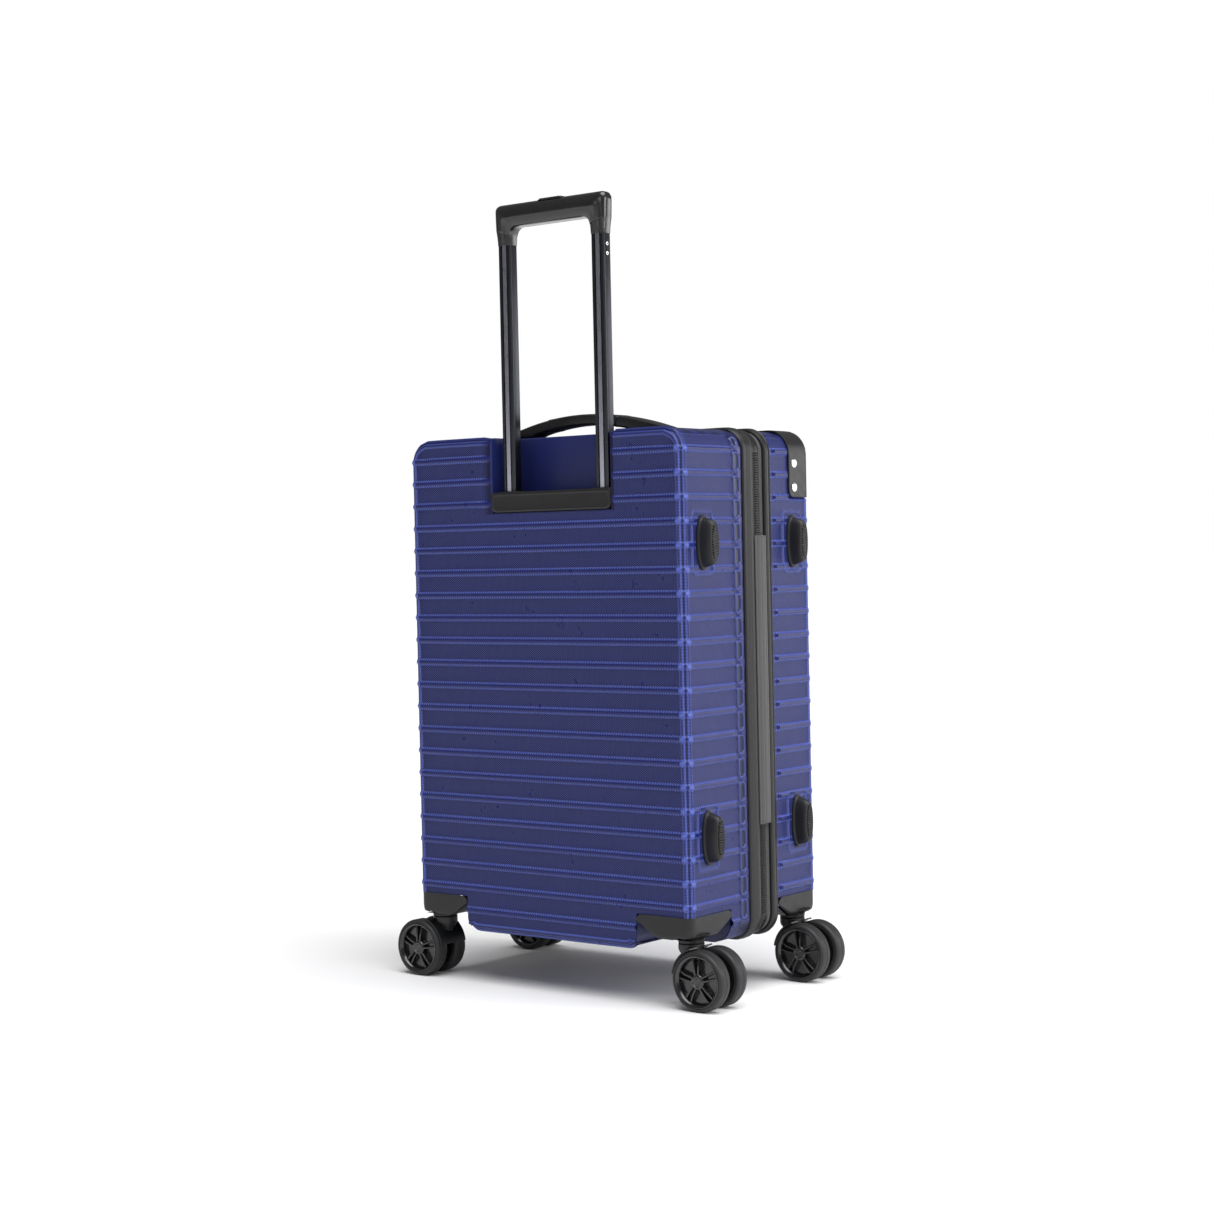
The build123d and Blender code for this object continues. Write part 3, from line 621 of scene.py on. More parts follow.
def rib_heights(u, v, depth, edge_distance, facing, side):
    """Height of the moulded pattern over the plain skin."""
    z = v + MIDDLE
    ribs = np.zeros_like(z)
    for level in RIBS:
        ribs = np.maximum(ribs, hump(z - level, RIB_HALF))
    ribs = ribs * RIB_DEPTH
    keep = np.ones_like(z)
    extra = np.zeros_like(z)
    if side in ("left", "right"):
        if side == "left":
            span = foot_low if facing > 0 else lid_foot_low
            high = foot_high if facing > 0 else lid_foot_high
            centre = FACE - facing * (span.y + high.y) / 2
            for level in FEET_Z:
                inside = soft_window(depth, centre - 14.5, centre + 14.5, 1.5) \
                    * soft_window(z, level - 28.5, level + 28.5, 1.5)
                keep = keep * (1 - inside)
                extra = np.maximum(extra, 1.3 * loop_line(depth - centre, z - level, 16.0,
                                                          30.0, 5.0, 1.7))
        elif facing > 0:
            low, high = box_mm("side_handle_grip")
            inside = soft_window(depth, FACE - high.y - 1.5, FACE - low.y + 1.5, 1.5) \
                * soft_window(z, low.z - 3, high.z + 3, 2.0)
            keep = keep * (1 - inside)
            low, high = box_mm("lock_body")
            inside = soft_window(depth, FACE - high.y - 3, 200, 1.5) \
                * soft_window(z, low.z - 4, high.z + 4, 2.0)
            keep = keep * (1 - inside)
        if facing > 0:
            for level in RIBS[:-1]:
                middle = level - PITCH / 2
                extra = np.maximum(extra, keep * 1.8 * loop_line(
                    depth - 88.3, z - middle, 4.8, 8.9, 4.2, 1.6))
            extra = np.maximum(extra, keep * 1.8 * loop_line(
                depth - 88.3, z - (RIBS[0] + 9.0), 4.6, 6.0, 4.2, 1.7))
            keep = keep * (1 - soft_window(depth, 82.3, 200, 1.5))
        else:
            keep = keep * (1 - soft_window(depth, 62.5, 200, 1.5))
        if facing < 0:
            inside = soft_window(z, guard_low.z - 1, 999, 1.0) \
                * soft_window(depth, -9, FACE + guard_high.y + 1, 1.0)
            keep = keep * (1 - inside)
    elif side == "face":
        if facing > 0:
            inside = soft_window(u, RECESS_LEFT - 3.0, RECESS_RIGHT + 3.0, 1.0) \
                * soft_window(z, RECESS_FLOOR - 1.0, 999, 0.6)
            keep = keep * (1 - inside)
        else:
            inside = soft_window(z, guard_low.z - 1, 999, 1.0) \
                * soft_window(np.abs(u), SIDE - GUARD_REACH, 999, 1.0)
            keep = keep * (1 - inside)
    elif facing < 0:
        inside = soft_window(np.abs(u), SIDE - GUARD_REACH, 999, 1.0) \
            * soft_window(depth, -9, FACE + guard_high.y + 1, 1.0) * (side == "top")
        keep = keep * (1 - inside)
    ribs = ribs * keep if side not in ("top", "bottom") else ribs * 0
    bars = 1.7 * hump(edge_distance - 4.25, 3.1)
    if side == "face" and facing > 0:
        bars = bars * (1 - soft_window(u, RECESS_LEFT - 3.0, RECESS_RIGHT + 3.0, 1.0)
                       * soft_window(z, RECESS_FLOOR, 999, 0.6))
    if side == "top" and facing > 0:
        bars = bars * (1 - soft_window(u, RECESS_LEFT - 3.0, RECESS_RIGHT + 3.0, 1.0))
    if facing < 0:
        bars = bars * keep
    total = np.maximum(np.maximum(ribs, bars), extra)
    knot = np.exp(-((edge_distance - 4.25) / 2.4) ** 2) * ribs / RIB_DEPTH
    # the second value marks the raised loops, which the shell colour lights up as a painted
    # highlight
    return np.minimum(total + 0.55 * knot, 2.38), np.clip(extra / 1.3, 0, 1)


def rib_rows():
    """Levels of the mesh rows, fine across each rib."""
    near = (-3.6, -3.15, -2.3, -1.2, 0.0, 1.2, 2.3, 3.15, 3.6)
    between = (-4.4, -5.2, -6.0, -6.9, -8.4, -11.4, -14.4, -15.9, -16.8, -17.6, -18.4)
    rows = set()
    for level in RIBS:
        rows.update(round(level + d - MIDDLE, 3) for d in near + between)
    rows = [r for r in rows if abs(r) < HALF_HEIGHT - 9.2]
    ends = [0.0, 1.0, 2.0, 3.1, 4.25, 5.4, 6.4, 7.5, 8.6]
    rows += [HALF_HEIGHT - e for e in ends] + [-(HALF_HEIGHT - e) for e in ends]
    rows += [RIBS[0] + d - MIDDLE for d in (3.6, 5.4, 9.0)]
    rows += [RECESS_FLOOR - MIDDLE]
    rows = [r for r in rows if abs(r - (WELL_TOP - MIDDLE)) > 1.0] + [WELL_TOP - MIDDLE]
    rows = sorted(rows)
    kept = [rows[0]]
    for row in rows[1:]:
        if row - kept[-1] > 0.35:
            kept.append(row)
        elif abs(row - (RECESS_FLOOR - MIDDLE)) < 1e-6:
            kept[-1] = row
    return np.array(kept)


def spaced(values, gap=0.45):
    values = sorted(values)
    kept = [values[0]]
    for value in values[1:]:
        if value - kept[-1] > gap:
            kept.append(value)
    return np.array(kept)


def ribbed_shell(name, facing, rim, body, replaces):
    """One half of the case: face, four walls, moulded ribs and a plain inner skin."""
    depth_size = FACE - facing * rim
    ends = [0.0, 1.0, 2.0, 3.1, 4.25, 5.4, 6.4, 7.5, 8.6]
    fixed = [RECESS_LEFT, RECESS_RIGHT] if facing > 0 else []
    columns = [-SIDE + e for e in ends] + [SIDE - e for e in ends]
    columns += list(np.linspace(-SIDE + 20, SIDE - 20, 25))
    for x in fixed:
        columns = [c for c in columns if abs(c - x) > 5.0]
        columns += [x, x - 1.0, x - 2.0, x - 3.0, x - 4.0, x + 1.0, x + 3.0]
    if facing < 0:
        for x in (SIDE - GUARD_REACH, GUARD_REACH - SIDE):
            columns = [c for c in columns if abs(c - x) > 3.0]
            columns += [x - 1, x, x + 1]
    for x in (SIDE - WELL_LENGTH, WELL_LENGTH - SIDE):
        columns = [c for c in columns if abs(c - x) > 2.0]
        columns += [x, x - 1.5, x + 1.5, x - 4, x + 4, x * 0.975, x * 0.95, x * 0.93,
                    x * 0.91, x * 0.88]
    columns = spaced(columns)
    rows = rib_rows()
    depths = list(ends) + list(np.linspace(12, depth_size - 4, 12 if facing > 0 else 8))
    foot = foot_low if facing > 0 else lid_foot_low
    foot_top = foot_high if facing > 0 else lid_foot_high
    centre = FACE - facing * (foot.y + foot_top.y) / 2
    for edge in (centre - 16, centre + 16):
        depths += [edge + d for d in (-2.0, -1.2, -0.4, 0.4, 1.2, 2.0)]
    depths += list(np.linspace(centre - 11, centre + 11, 4))
    if facing > 0:
        depths += list(np.linspace(82.0, 94.6, 19))
        depths += [RECESS_DEPTH + 1.6]
    else:
        depths += [61.0, 62.5, 64.0, FACE + guard_high.y, FACE + guard_high.y + 2]
    depths = [d for d in depths if abs(d - WELL_DEPTH) > 1.5]
    depths += [WELL_DEPTH, depth_size - 1.2, depth_size]
    depths = spaced([d for d in depths if d <= depth_size])
    depths[-1] = depth_size

    points, quads, uvs, lines, plain, raised = [], [], [], [], [], []
    total = 0

    def patch(side, grid_u, grid_v, grid_depth, keep_cell, uv, line, smooth):
        nonlocal total
        height, loops = rib_heights(grid_u, grid_v, grid_depth if grid_depth is not None
                                    else np.zeros_like(grid_u), line, facing, side)
        place = skin_point(grid_u, grid_v, grid_depth, facing, height)
        h, w = grid_u.shape
        index = np.arange(h * w).reshape(h, w) + total
        points.append(place.reshape(-1, 3))
        uvs.append(uv.reshape(-1, 2))
        lines.append(line.reshape(-1))
        plain.append(smooth.reshape(-1))
        raised.append(loops.reshape(-1))
        a, b, c, d = index[:-1, :-1], index[:-1, 1:], index[1:, 1:], index[1:, :-1]
        cells = np.stack([a, b, c, d], -1).reshape(-1, 4)
        middle_u = (grid_u[:-1, :-1] + grid_u[1:, 1:]) / 2
        middle_v = (grid_v[:-1, :-1] + grid_v[1:, 1:]) / 2
        middle_d = np.zeros_like(middle_u) if grid_depth is None else \
            (grid_depth[:-1, :-1] + grid_depth[1:, 1:]) / 2
        cells = cells[keep_cell(middle_u, middle_v, middle_d).reshape(-1)]
        quads.append(cells)
        total += h * w

    def well(u, v, depth):
        """True where a caster housing takes the place of the shell."""
        return (np.abs(u) > SIDE - WELL_LENGTH) & (v + MIDDLE < WELL_TOP) \
            & (depth < WELL_DEPTH)

    def keep_face(u, v, depth):
        cut = well(u, v, depth)
        if facing > 0:
            cut |= (u > RECESS_LEFT) & (u < RECESS_RIGHT) & (v + MIDDLE > RECESS_FLOOR)
        return ~cut

    def keep_wall(u, v, depth):
        return ~well(u, v, depth)

    def keep_top(u, v, depth):
        if facing < 0:
            return np.ones_like(u, bool)
        return ~((u > RECESS_LEFT) & (u < RECESS_RIGHT) & (depth < RECESS_DEPTH + 1.6))

    gu, gv = np.meshgrid(columns, rows)
    line = np.minimum(SIDE - np.abs(gu), HALF_HEIGHT - np.abs(gv))
    smooth = np.zeros_like(gu)
    if facing > 0:
        smooth = soft_window(gu, RECESS_LEFT - 3.2, RECESS_RIGHT + 3.2, 0.8) \
            * soft_window(gv + MIDDLE, RECESS_FLOOR - 0.5, 999, 0.8)
    patch("face", gu, gv, None, keep_face, np.stack([gu, gv + MIDDLE], -1), line,
          np.maximum(smooth, line < 0.7))
    for side, sign in (("left", -1), ("right", 1)):
        gd, gv = np.meshgrid(depths, rows)
        gu = np.full_like(gd, sign * SIDE)
        smooth = np.maximum(soft_window(gd, 82.0 if facing > 0 else 999, 999, 1.0),
                            gd < 0.7)
        patch(side, gu, gv, gd, keep_wall,
              np.stack([sign * (SIDE + gd), gv + MIDDLE], -1), gd, smooth)
    for side, sign in (("top", 1), ("bottom", -1)):
        gd, gu = np.meshgrid(depths, columns)
        gv = np.full_like(gd, sign * HALF_HEIGHT)
        smooth = np.full_like(gd, 0.75 if sign > 0 else 0.2)
        patch(side, gu, gv, gd, keep_top if sign > 0 else keep_wall,
              np.stack([gu, 200.0 + gd], -1), gd, np.maximum(smooth, gd < 0.7))
    count_outer = sum(len(q) for q in quads)

    inner_u = spaced(list(np.linspace(-SIDE, SIDE, 21)) + [-SIDE + 8, SIDE - 8,
                                                           RECESS_LEFT, RECESS_RIGHT])
    inner_v = spaced(list(np.linspace(-HALF_HEIGHT, HALF_HEIGHT, 25))
                     + [-HALF_HEIGHT + 8, HALF_HEIGHT - 8, RECESS_FLOOR - MIDDLE,
                        WELL_TOP - MIDDLE])
    inner_d = spaced([0, 2.5, 5, 8, 20, 30, RECESS_DEPTH + 1.6, 55, WELL_DEPTH,
                      depth_size - 0.3])
    inner_d = inner_d[inner_d < depth_size]
    grids = [("face", *np.meshgrid(inner_u, inner_v), None)]
    for sign in (-1, 1):
        gd, gv = np.meshgrid(inner_d, inner_v)
        grids.append(("wall", np.full_like(gd, sign * SIDE), gv, gd))
        gd, gu = np.meshgrid(inner_d, inner_u)
        grids.append(("top" if sign > 0 else "wall", gu,
                      np.full_like(gd, sign * HALF_HEIGHT), gd))
    for side, gu, gv, gd in grids:
        place = skin_point(gu, gv, gd, facing, -2.2)
        h, w = gu.shape
        index = np.arange(h * w).reshape(h, w) + total
        cells = np.stack([index[:-1, :-1], index[1:, :-1], index[1:, 1:],
                          index[:-1, 1:]], -1).reshape(-1, 4)
        mu, mv = (gu[:-1, :-1] + gu[1:, 1:]) / 2, (gv[:-1, :-1] + gv[1:, 1:]) / 2
        md = np.zeros_like(mu) if gd is None else (gd[:-1, :-1] + gd[1:, 1:]) / 2
        keep = {"face": keep_face, "wall": keep_wall, "top": keep_top}[side](mu, mv, md)
        points.append(place.reshape(-1, 3))
        uvs.append(np.stack([gu, gv], -1).reshape(-1, 2))
        lines.append(np.full(h * w, 50.0))
        plain.append(np.ones(h * w))
        raised.append(np.zeros(h * w))
        quads.append(cells[keep.reshape(-1)])
        total += h * w
    points = np.concatenate(points)
    points[:, 0], points[:, 2] = round_beside_well(points[:, 0], points[:, 2],
                                                   FACE - facing * points[:, 1])
    faces = np.concatenate(quads)
    kinds = np.zeros(len(faces), np.int32)
    kinds[count_outer:] = 1
    used = np.unique(faces)
    lookup = np.full(len(points), -1)
    lookup[used] = np.arange(len(used))
    obj = from_arrays(name, points[used], lookup[faces], ["shell_blue", "shell_smooth"],
                      kinds)
    mesh = obj.data
    vertex = np.zeros(len(mesh.loops), np.int32)
    mesh.loops.foreach_get("vertex_index", vertex)
    pattern = mesh.uv_layers.new(name="pattern")
    pattern.data.foreach_set("uv", (np.concatenate(uvs)[used][vertex] * MM)
                             .astype(np.float32).reshape(-1))
    for key, value in (("edge_line", np.concatenate(lines)),
                       ("plain", np.concatenate(plain)),
                       ("raised", np.concatenate(raised))):
        layer = mesh.attributes.new(key, "FLOAT", "POINT")
        layer.data.foreach_set("value", value[used].astype(np.float32))
    bm = bmesh.new()
    bm.from_mesh(mesh)
    bmesh.ops.remove_doubles(bm, verts=bm.verts, dist=0.00002)
    bmesh.ops.recalc_face_normals(bm, faces=bm.faces)
    bm.to_mesh(mesh)
    bm.free()
    return finish_piece(obj, body, replaces, sharp=50.0)


def recess_liner():
    """Back wall, two sides and top lips of the recess that the grip sinks into."""
    def profile(x):
        """Outline of the shell above the recess floor, as depth and height."""
        levels = [r for r in rib_rows() if r + MIDDLE >= RECESS_FLOOR - 0.01]
        rim = []
        for v in levels:
            p = skin_point(np.array([x]), np.array([v]), None, 1)
            rim.append((FACE - p[0][1], p[0][2]))
        for d in (1.0, 2.0, 3.1, 4.25, 5.4, 6.4, 7.5, 8.6, 12.0, RECESS_DEPTH - 1.5):
            p = skin_point(np.array([x]), np.array([HALF_HEIGHT]), np.array([d]), 1)
            rim.append((FACE - p[0][1], p[0][2]))
        return rim
    bm = bmesh.new()
    for x, inward in ((RECESS_LEFT, 1), (RECESS_RIGHT, -1)):
        rim = profile(x)
        outer = [bm.verts.new((x - inward * 0.05, FACE - d, z)) for d, z in rim]
        inner = [bm.verts.new((x + inward * 1.0, FACE - max(d, 1.1),
                               min(z, TOP - 1.1))) for d, z in rim]
        bridge(bm, [outer, inner], closed=False)
        corner_low = bm.verts.new((x + inward * 1.0, FACE - RECESS_DEPTH, RECESS_FLOOR))
        corner_high = bm.verts.new((x + inward * 1.0, FACE - RECESS_DEPTH, TOP - 1.1))
        bm.faces.new(inner + [corner_high, corner_low])
    steps = [RECESS_LEFT + 1.0, RECESS_LEFT + 4] + list(
        np.linspace(RECESS_LEFT + 20, RECESS_RIGHT - 20, 6)) + [RECESS_RIGHT - 4,
                                                                RECESS_RIGHT - 1.0]
    lines = [(RECESS_DEPTH, RECESS_FLOOR), (RECESS_DEPTH, 510.0),
             (RECESS_DEPTH, TOP - 2.2), (RECESS_DEPTH + 0.25, TOP - 1.0),
             (RECESS_DEPTH + 0.8, TOP - 0.3), (RECESS_DEPTH + 1.7, TOP)]
    grid = [[bm.verts.new((x, FACE - d, z)) for x in steps] for d, z in lines]
    bridge(bm, grid, closed=False)
    for x, inward in ((RECESS_LEFT, 1), (RECESS_RIGHT, -1)):
        cap = [bm.verts.new(c) for c in ((x - inward * 0.1, FACE - RECESS_DEPTH + 1.5, TOP),
                                         (x + inward * 1.0, FACE - RECESS_DEPTH, TOP - 1.1),
                                         (x + inward * 1.0, FACE - RECESS_DEPTH - 1.7, TOP),
                                         (x - inward * 0.1, FACE - RECESS_DEPTH - 1.7,
                                          TOP))]
        bm.faces.new(cap)
    obj = from_bmesh("trolley_recess_walls", bm, ["shell_smooth"])
    return finish_piece(obj, "case_back", sharp=40.0)


ribbed_shell("ribbed_back_shell", 1, BACK_RIM, "case_back", ["back_shell"])
ribbed_shell("ribbed_front_shell", -1, LID_RIM, "case_lid", ["front_shell"])
recess_liner()


# ---------------------------------------------------------------- edge trims, zip and hinge
BACK_TRIM = [(-2.2, 8.7), (0.7, 8.7), (2.0, 7.6), (2.7, 5.6), (2.3, 4.9), (2.6, 4.2),
             (2.9, 0.5), (2.4, 0.0), (2.7, -0.6), (2.6, -4.6), (1.9, -5.2), (2.1, -5.8),
             (1.7, -8.0), (0.6, -9.0), (-2.2, -9.0)]
LID_TRIM = [(-2.2, -38.0), (0.9, -38.0), (2.3, -37.2), (2.9, -35.4), (2.3, -34.7),
            (2.7, -34.0), (2.8, -31.0), (2.2, -29.2), (0.8, -28.2), (-2.2, -28.2)]
for name, profile, body, node in (
        ("back_edge_piping", BACK_TRIM, "case_back", "back_edge_trim"),
        ("lid_edge_piping", LID_TRIM, "case_lid", "front_edge_trim")):
    points, faces = swept_ring(profile, 12, 24.0)
    finish_piece(from_arrays(name, points, faces, ["edge_rubber"]), body,
                 [node], 28.0)


def coil_teeth(sign):
    """One row of the zip coil: small slanted loops round the case."""
    base, normal = case_outline(-0.4, 26, 2.35)
    block = np.array([(-1.05, 0.2), (-0.75, 5.4), (0.75, 5.4), (1.05, 0.2)])
    points, faces = [], []
    for (x, z), (nx, nz) in zip(base, normal):
        tangent = (-nz, nx)
        start = len(points)
        for out, shrink in ((-1.6, 1.0), (0.2, 0.95), (0.75, 0.6)):
            for along, across in block:
                slant = along * shrink + (across - 2.8) * 0.16
                y = ZIP_Y + sign * (0.2 + (across - 0.2) * (0.5 + shrink / 2))
                points.append((x + nx * out + tangent[0] * slant, y,
                               z + nz * out + tangent[1] * slant))
        for level in (0, 4):
            for k in range(4):
                m = (k + 1) % 4
                faces.append((start + level + k, start + level + m,
                              start + level + 4 + m, start + level + 4 + k))
        faces.append((start + 8, start + 9, start + 10, start + 11))
    return np.array(points), faces


def joined(parts):
    points, faces, start = [], [], 0
    for some_points, some_faces in parts:
        points.append(np.asarray(some_points))
        faces += [tuple(i + start for i in face) for face in some_faces]
        start += len(some_points)
    return np.concatenate(points), faces


for name, sign, body, node, ends in (
        ("back_zip_half", 1, "case_back", "back_zip_tape", (-9.3, -15.2)),
        ("lid_zip_half", -1, "case_lid", "front_zip_tape", (-28.0, -16.8))):
    far, near = ends
    tape = [(-1.2, far), (-0.9, far + (near - far) * 0.3), (-1.2, far + (near - far) * 0.7),
            (-1.5, near), (-2.3, near), (-2.2, far)]
    tape_points, tape_faces = swept_ring(tape, 12, 12.0)
    teeth_points, teeth_faces = coil_teeth(sign)
    points, faces = joined([(tape_points, tape_faces), (teeth_points, teeth_faces)])
    kinds = [0] * len(tape_faces) + [1] * len(teeth_faces)
    finish_piece(from_arrays(name, points, faces, ["zip_fabric", "zip_coil"], kinds), body,
                 [node], 40.0)


def hinge_cover():
    """Woven strip over the zip at the hinge side, one cloth from trim to trim."""
    low, high = box_mm("hinge_strip_back")
    lid_low_y = box_mm("hinge_strip_front")[0].y
    ys = np.linspace(high.y + 0.6, lid_low_y - 3.4, 25)
    zs = np.linspace(low.z, high.z, 60)
    bulge = 2.0 + 0.7 * np.cos(np.linspace(-1, 1, 25) * math.pi / 2)
    grooves = np.where(np.abs((np.arange(25) % 8) - 4) < 1, -0.25, 0.0)
    points = [(-SIDE - out - groove, y, z) for z in zs
              for y, out, groove in zip(ys, bulge, grooves)]
    faces = [(r * 25 + c, r * 25 + c + 1, (r + 1) * 25 + c + 1, (r + 1) * 25 + c)
             for r in range(59) for c in range(24)]
    obj = from_arrays("hinge_cover", points, faces, ["hinge_web"])
    apply_modifier(obj, "SOLIDIFY", thickness=0.0009, offset=0.0)
    obj.data.shade_smooth()
    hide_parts("hinge_strip_back", "hinge_strip_front")
    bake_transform(obj)


hinge_cover()


# ---------------------------------------------------------------- trolley
def grooved_outline(half_x, half_y, stripe=2.4, groove=1.5, depth=0.9):
    """Tube section with a raised stripe between two grooves on both wide faces."""
    right = []
    for i in range(5):
        angle = -math.pi / 2 + math.pi / 2 * i / 4
        right.append((half_x - 1.8 + 1.8 * math.cos(angle),
                      -half_y + 1.8 + 1.8 * math.sin(angle)))
    for i in range(5):
        angle = math.pi / 2 * i / 4
        right.append((half_x - 1.8 + 1.8 * math.cos(angle),
                      half_y - 1.8 + 1.8 * math.sin(angle)))
    top = [(stripe + groove, half_y), (stripe + groove - 0.25, half_y - depth),
           (stripe + 0.2, half_y - depth), (stripe, half_y)]
    top = top + [(-x, y) for x, y in reversed(top)]
    left = [(-x, -y) for x, y in right]
    bottom = [(-x, -y) for x, y in top]
    points = right + top + left + bottom
    stripe_edges = {len(right) + 3, len(right) + len(top) + len(left) + 3}
    return points, stripe_edges


def tube_piece(name, half, centres, levels, body, node, hollow=0.0):
    """Pair of extruded tubes; the raised stripe is polished."""
    outline, stripes = grooved_outline(*half)
    parts, kinds = [], []
    zs = [levels[0], levels[0] + 0.6, levels[1] - 0.6, levels[1]]
    scale = [0.97, 1.0, 1.0, 0.97]
    count = len(outline)
    for x0 in centres:
        points = [(x0 + x * k, TUBE_Y + y * k, z) for z, k in zip(zs, scale)
                  for x, y in outline]
        faces = []
        for level in range(3):
            for i in range(count):
                j = (i + 1) % count
                faces.append((level * count + i, level * count + j,
                              (level + 1) * count + j, (level + 1) * count + i))
                kinds.append(1 if i in stripes else 0)
        faces.append(tuple(reversed(range(count))))
        kinds.append(0)
        if hollow:
            inner = rounded_outline(half[0] - hollow, half[1] - hollow, 1.5, 3)
            start = len(points)
            points += [(x0 + x, TUBE_Y + y, levels[1]) for x, y in inner]
            points += [(x0 + x, TUBE_Y + y, levels[1] - 30) for x, y in inner]
            faces += [(start + i, start + (i + 1) % len(inner),
                       start + len(inner) + (i + 1) % len(inner), start + len(inner) + i)
                      for i in range(len(inner))]
            kinds += [0] * len(inner)
            nearest = [min(range(len(inner)), key=lambda k: math.dist(inner[k], p))
                       for p in outline]
            top = 3 * count
            for i in range(count):
                j = (i + 1) % count
                ring = [top + i, top + j, start + nearest[j]]
                if nearest[i] != nearest[j]:
                    ring.append(start + nearest[i])
                faces.append(tuple(ring))
                kinds.append(0)
        else:
            faces.append(tuple(range(3 * count, 4 * count)))
            kinds.append(0)
        parts.append((points, faces))
    points, faces = joined(parts)
    obj = from_arrays(name, points, faces, ["black_aluminium", "tube_stripe"], kinds)
    return finish_piece(obj, body, [node], 32.0)


inner_low, inner_high = box_mm("trolley_inner_tubes")
middle_low, middle_high = box_mm("trolley_middle_tubes")
tube_piece("trolley_stage_two_tubes", (8.0, 5.5), TUBES,
           (inner_low.z, inner_high.z - 1.0), "trolley_carriage", "trolley_inner_tubes")
tube_piece("trolley_stage_one_tubes", (9.7, 7.2, 3.2), TUBES,
           (middle_low.z, middle_high.z), "trolley_middle", "trolley_middle_tubes", 1.2)


def collars():
    bm = bmesh.new()
    low, high = box_mm("middle_tube_collars")
    outer, inner = rounded_outline(10.7, 8.2, 3.0), rounded_outline(8.35, 5.85, 1.9)
    for x in TUBES:
        rings = [[bm.verts.new((x + u, TUBE_Y + v, z)) for u, v in outline]
                 for outline, z in ((outer, low.z), (outer, high.z), (inner, high.z),
                                    (inner, low.z))]
        bridge(bm, rings + rings[:1])
    bevel_sharp(bm, 0.5, 2, 60)
    finish_piece(from_bmesh("telescopic_collars", bm, ["black_plastic"]), "trolley_middle",
                 ["middle_tube_collars"])


def bezel():
    """Moulded bridge that the tubes come out of, with a raised lip along its top."""
    low, high = bezel_low, bezel_high
    bm = bmesh.new()
    half = (high.x - low.x) / 2
    tall = (high.z - low.z) / 2
    centre = (low.z + high.z) / 2

    def outline(inset, top_inset, radius):
        points = []
        for sx, angle0 in ((-1, math.pi), (1, 1.5 * math.pi)):
            for i in range(7):
                angle = angle0 + math.pi / 2 * i / 6
                points.append((sx * (half - inset - radius) + radius * math.cos(angle),
                               -tall + inset + radius + radius * math.sin(angle)))
        points += [(half - inset, tall - top_inset - 1.5),
                   (half - inset - 1.5, tall - top_inset),
                   (-half + inset + 1.5, tall - top_inset),
                   (-half + inset, tall - top_inset - 1.5)]
        return points

    layers = [(0.0, 0.0, 6.0, FACE - 34), (0.0, 0.0, 6.0, FACE - 0.6),
              (0.5, 0.2, 5.6, FACE + 0.5), (1.6, 1.0, 4.9, FACE + 1.1),
              (2.4, 3.0, 4.3, FACE + 1.15), (2.8, 3.6, 4.0, FACE + 0.75),
              (4.0, 4.4, 3.6, FACE + 0.7)]
    rings = []
    for inset, top_inset, radius, y in layers:
        rings.append([bm.verts.new((TROLLEY_X + u, y, centre + v))
                      for u, v in outline(inset, top_inset, radius)])
    bridge(bm, rings, caps=True)
    for x in TUBES:
        ring = rounded_outline(11.2, 8.7, 3.0, 4)
        outer = rounded_outline(12.4, 9.9, 3.6, 4)
        lowered = [bm.verts.new((x + u, TUBE_Y + v, high.z + 0.7)) for u, v in ring]
        wide = [bm.verts.new((x + u, TUBE_Y + v, high.z - 0.3)) for u, v in outer]
        inside = [bm.verts.new((x + u, TUBE_Y + v, high.z - 0.3)) for u, v in ring]
        bridge(bm, [wide, lowered, inside])
    finish_piece(from_bmesh("recess_bridge", bm, ["black_plastic"]), "case_back",
                 ["trolley_bezel"])


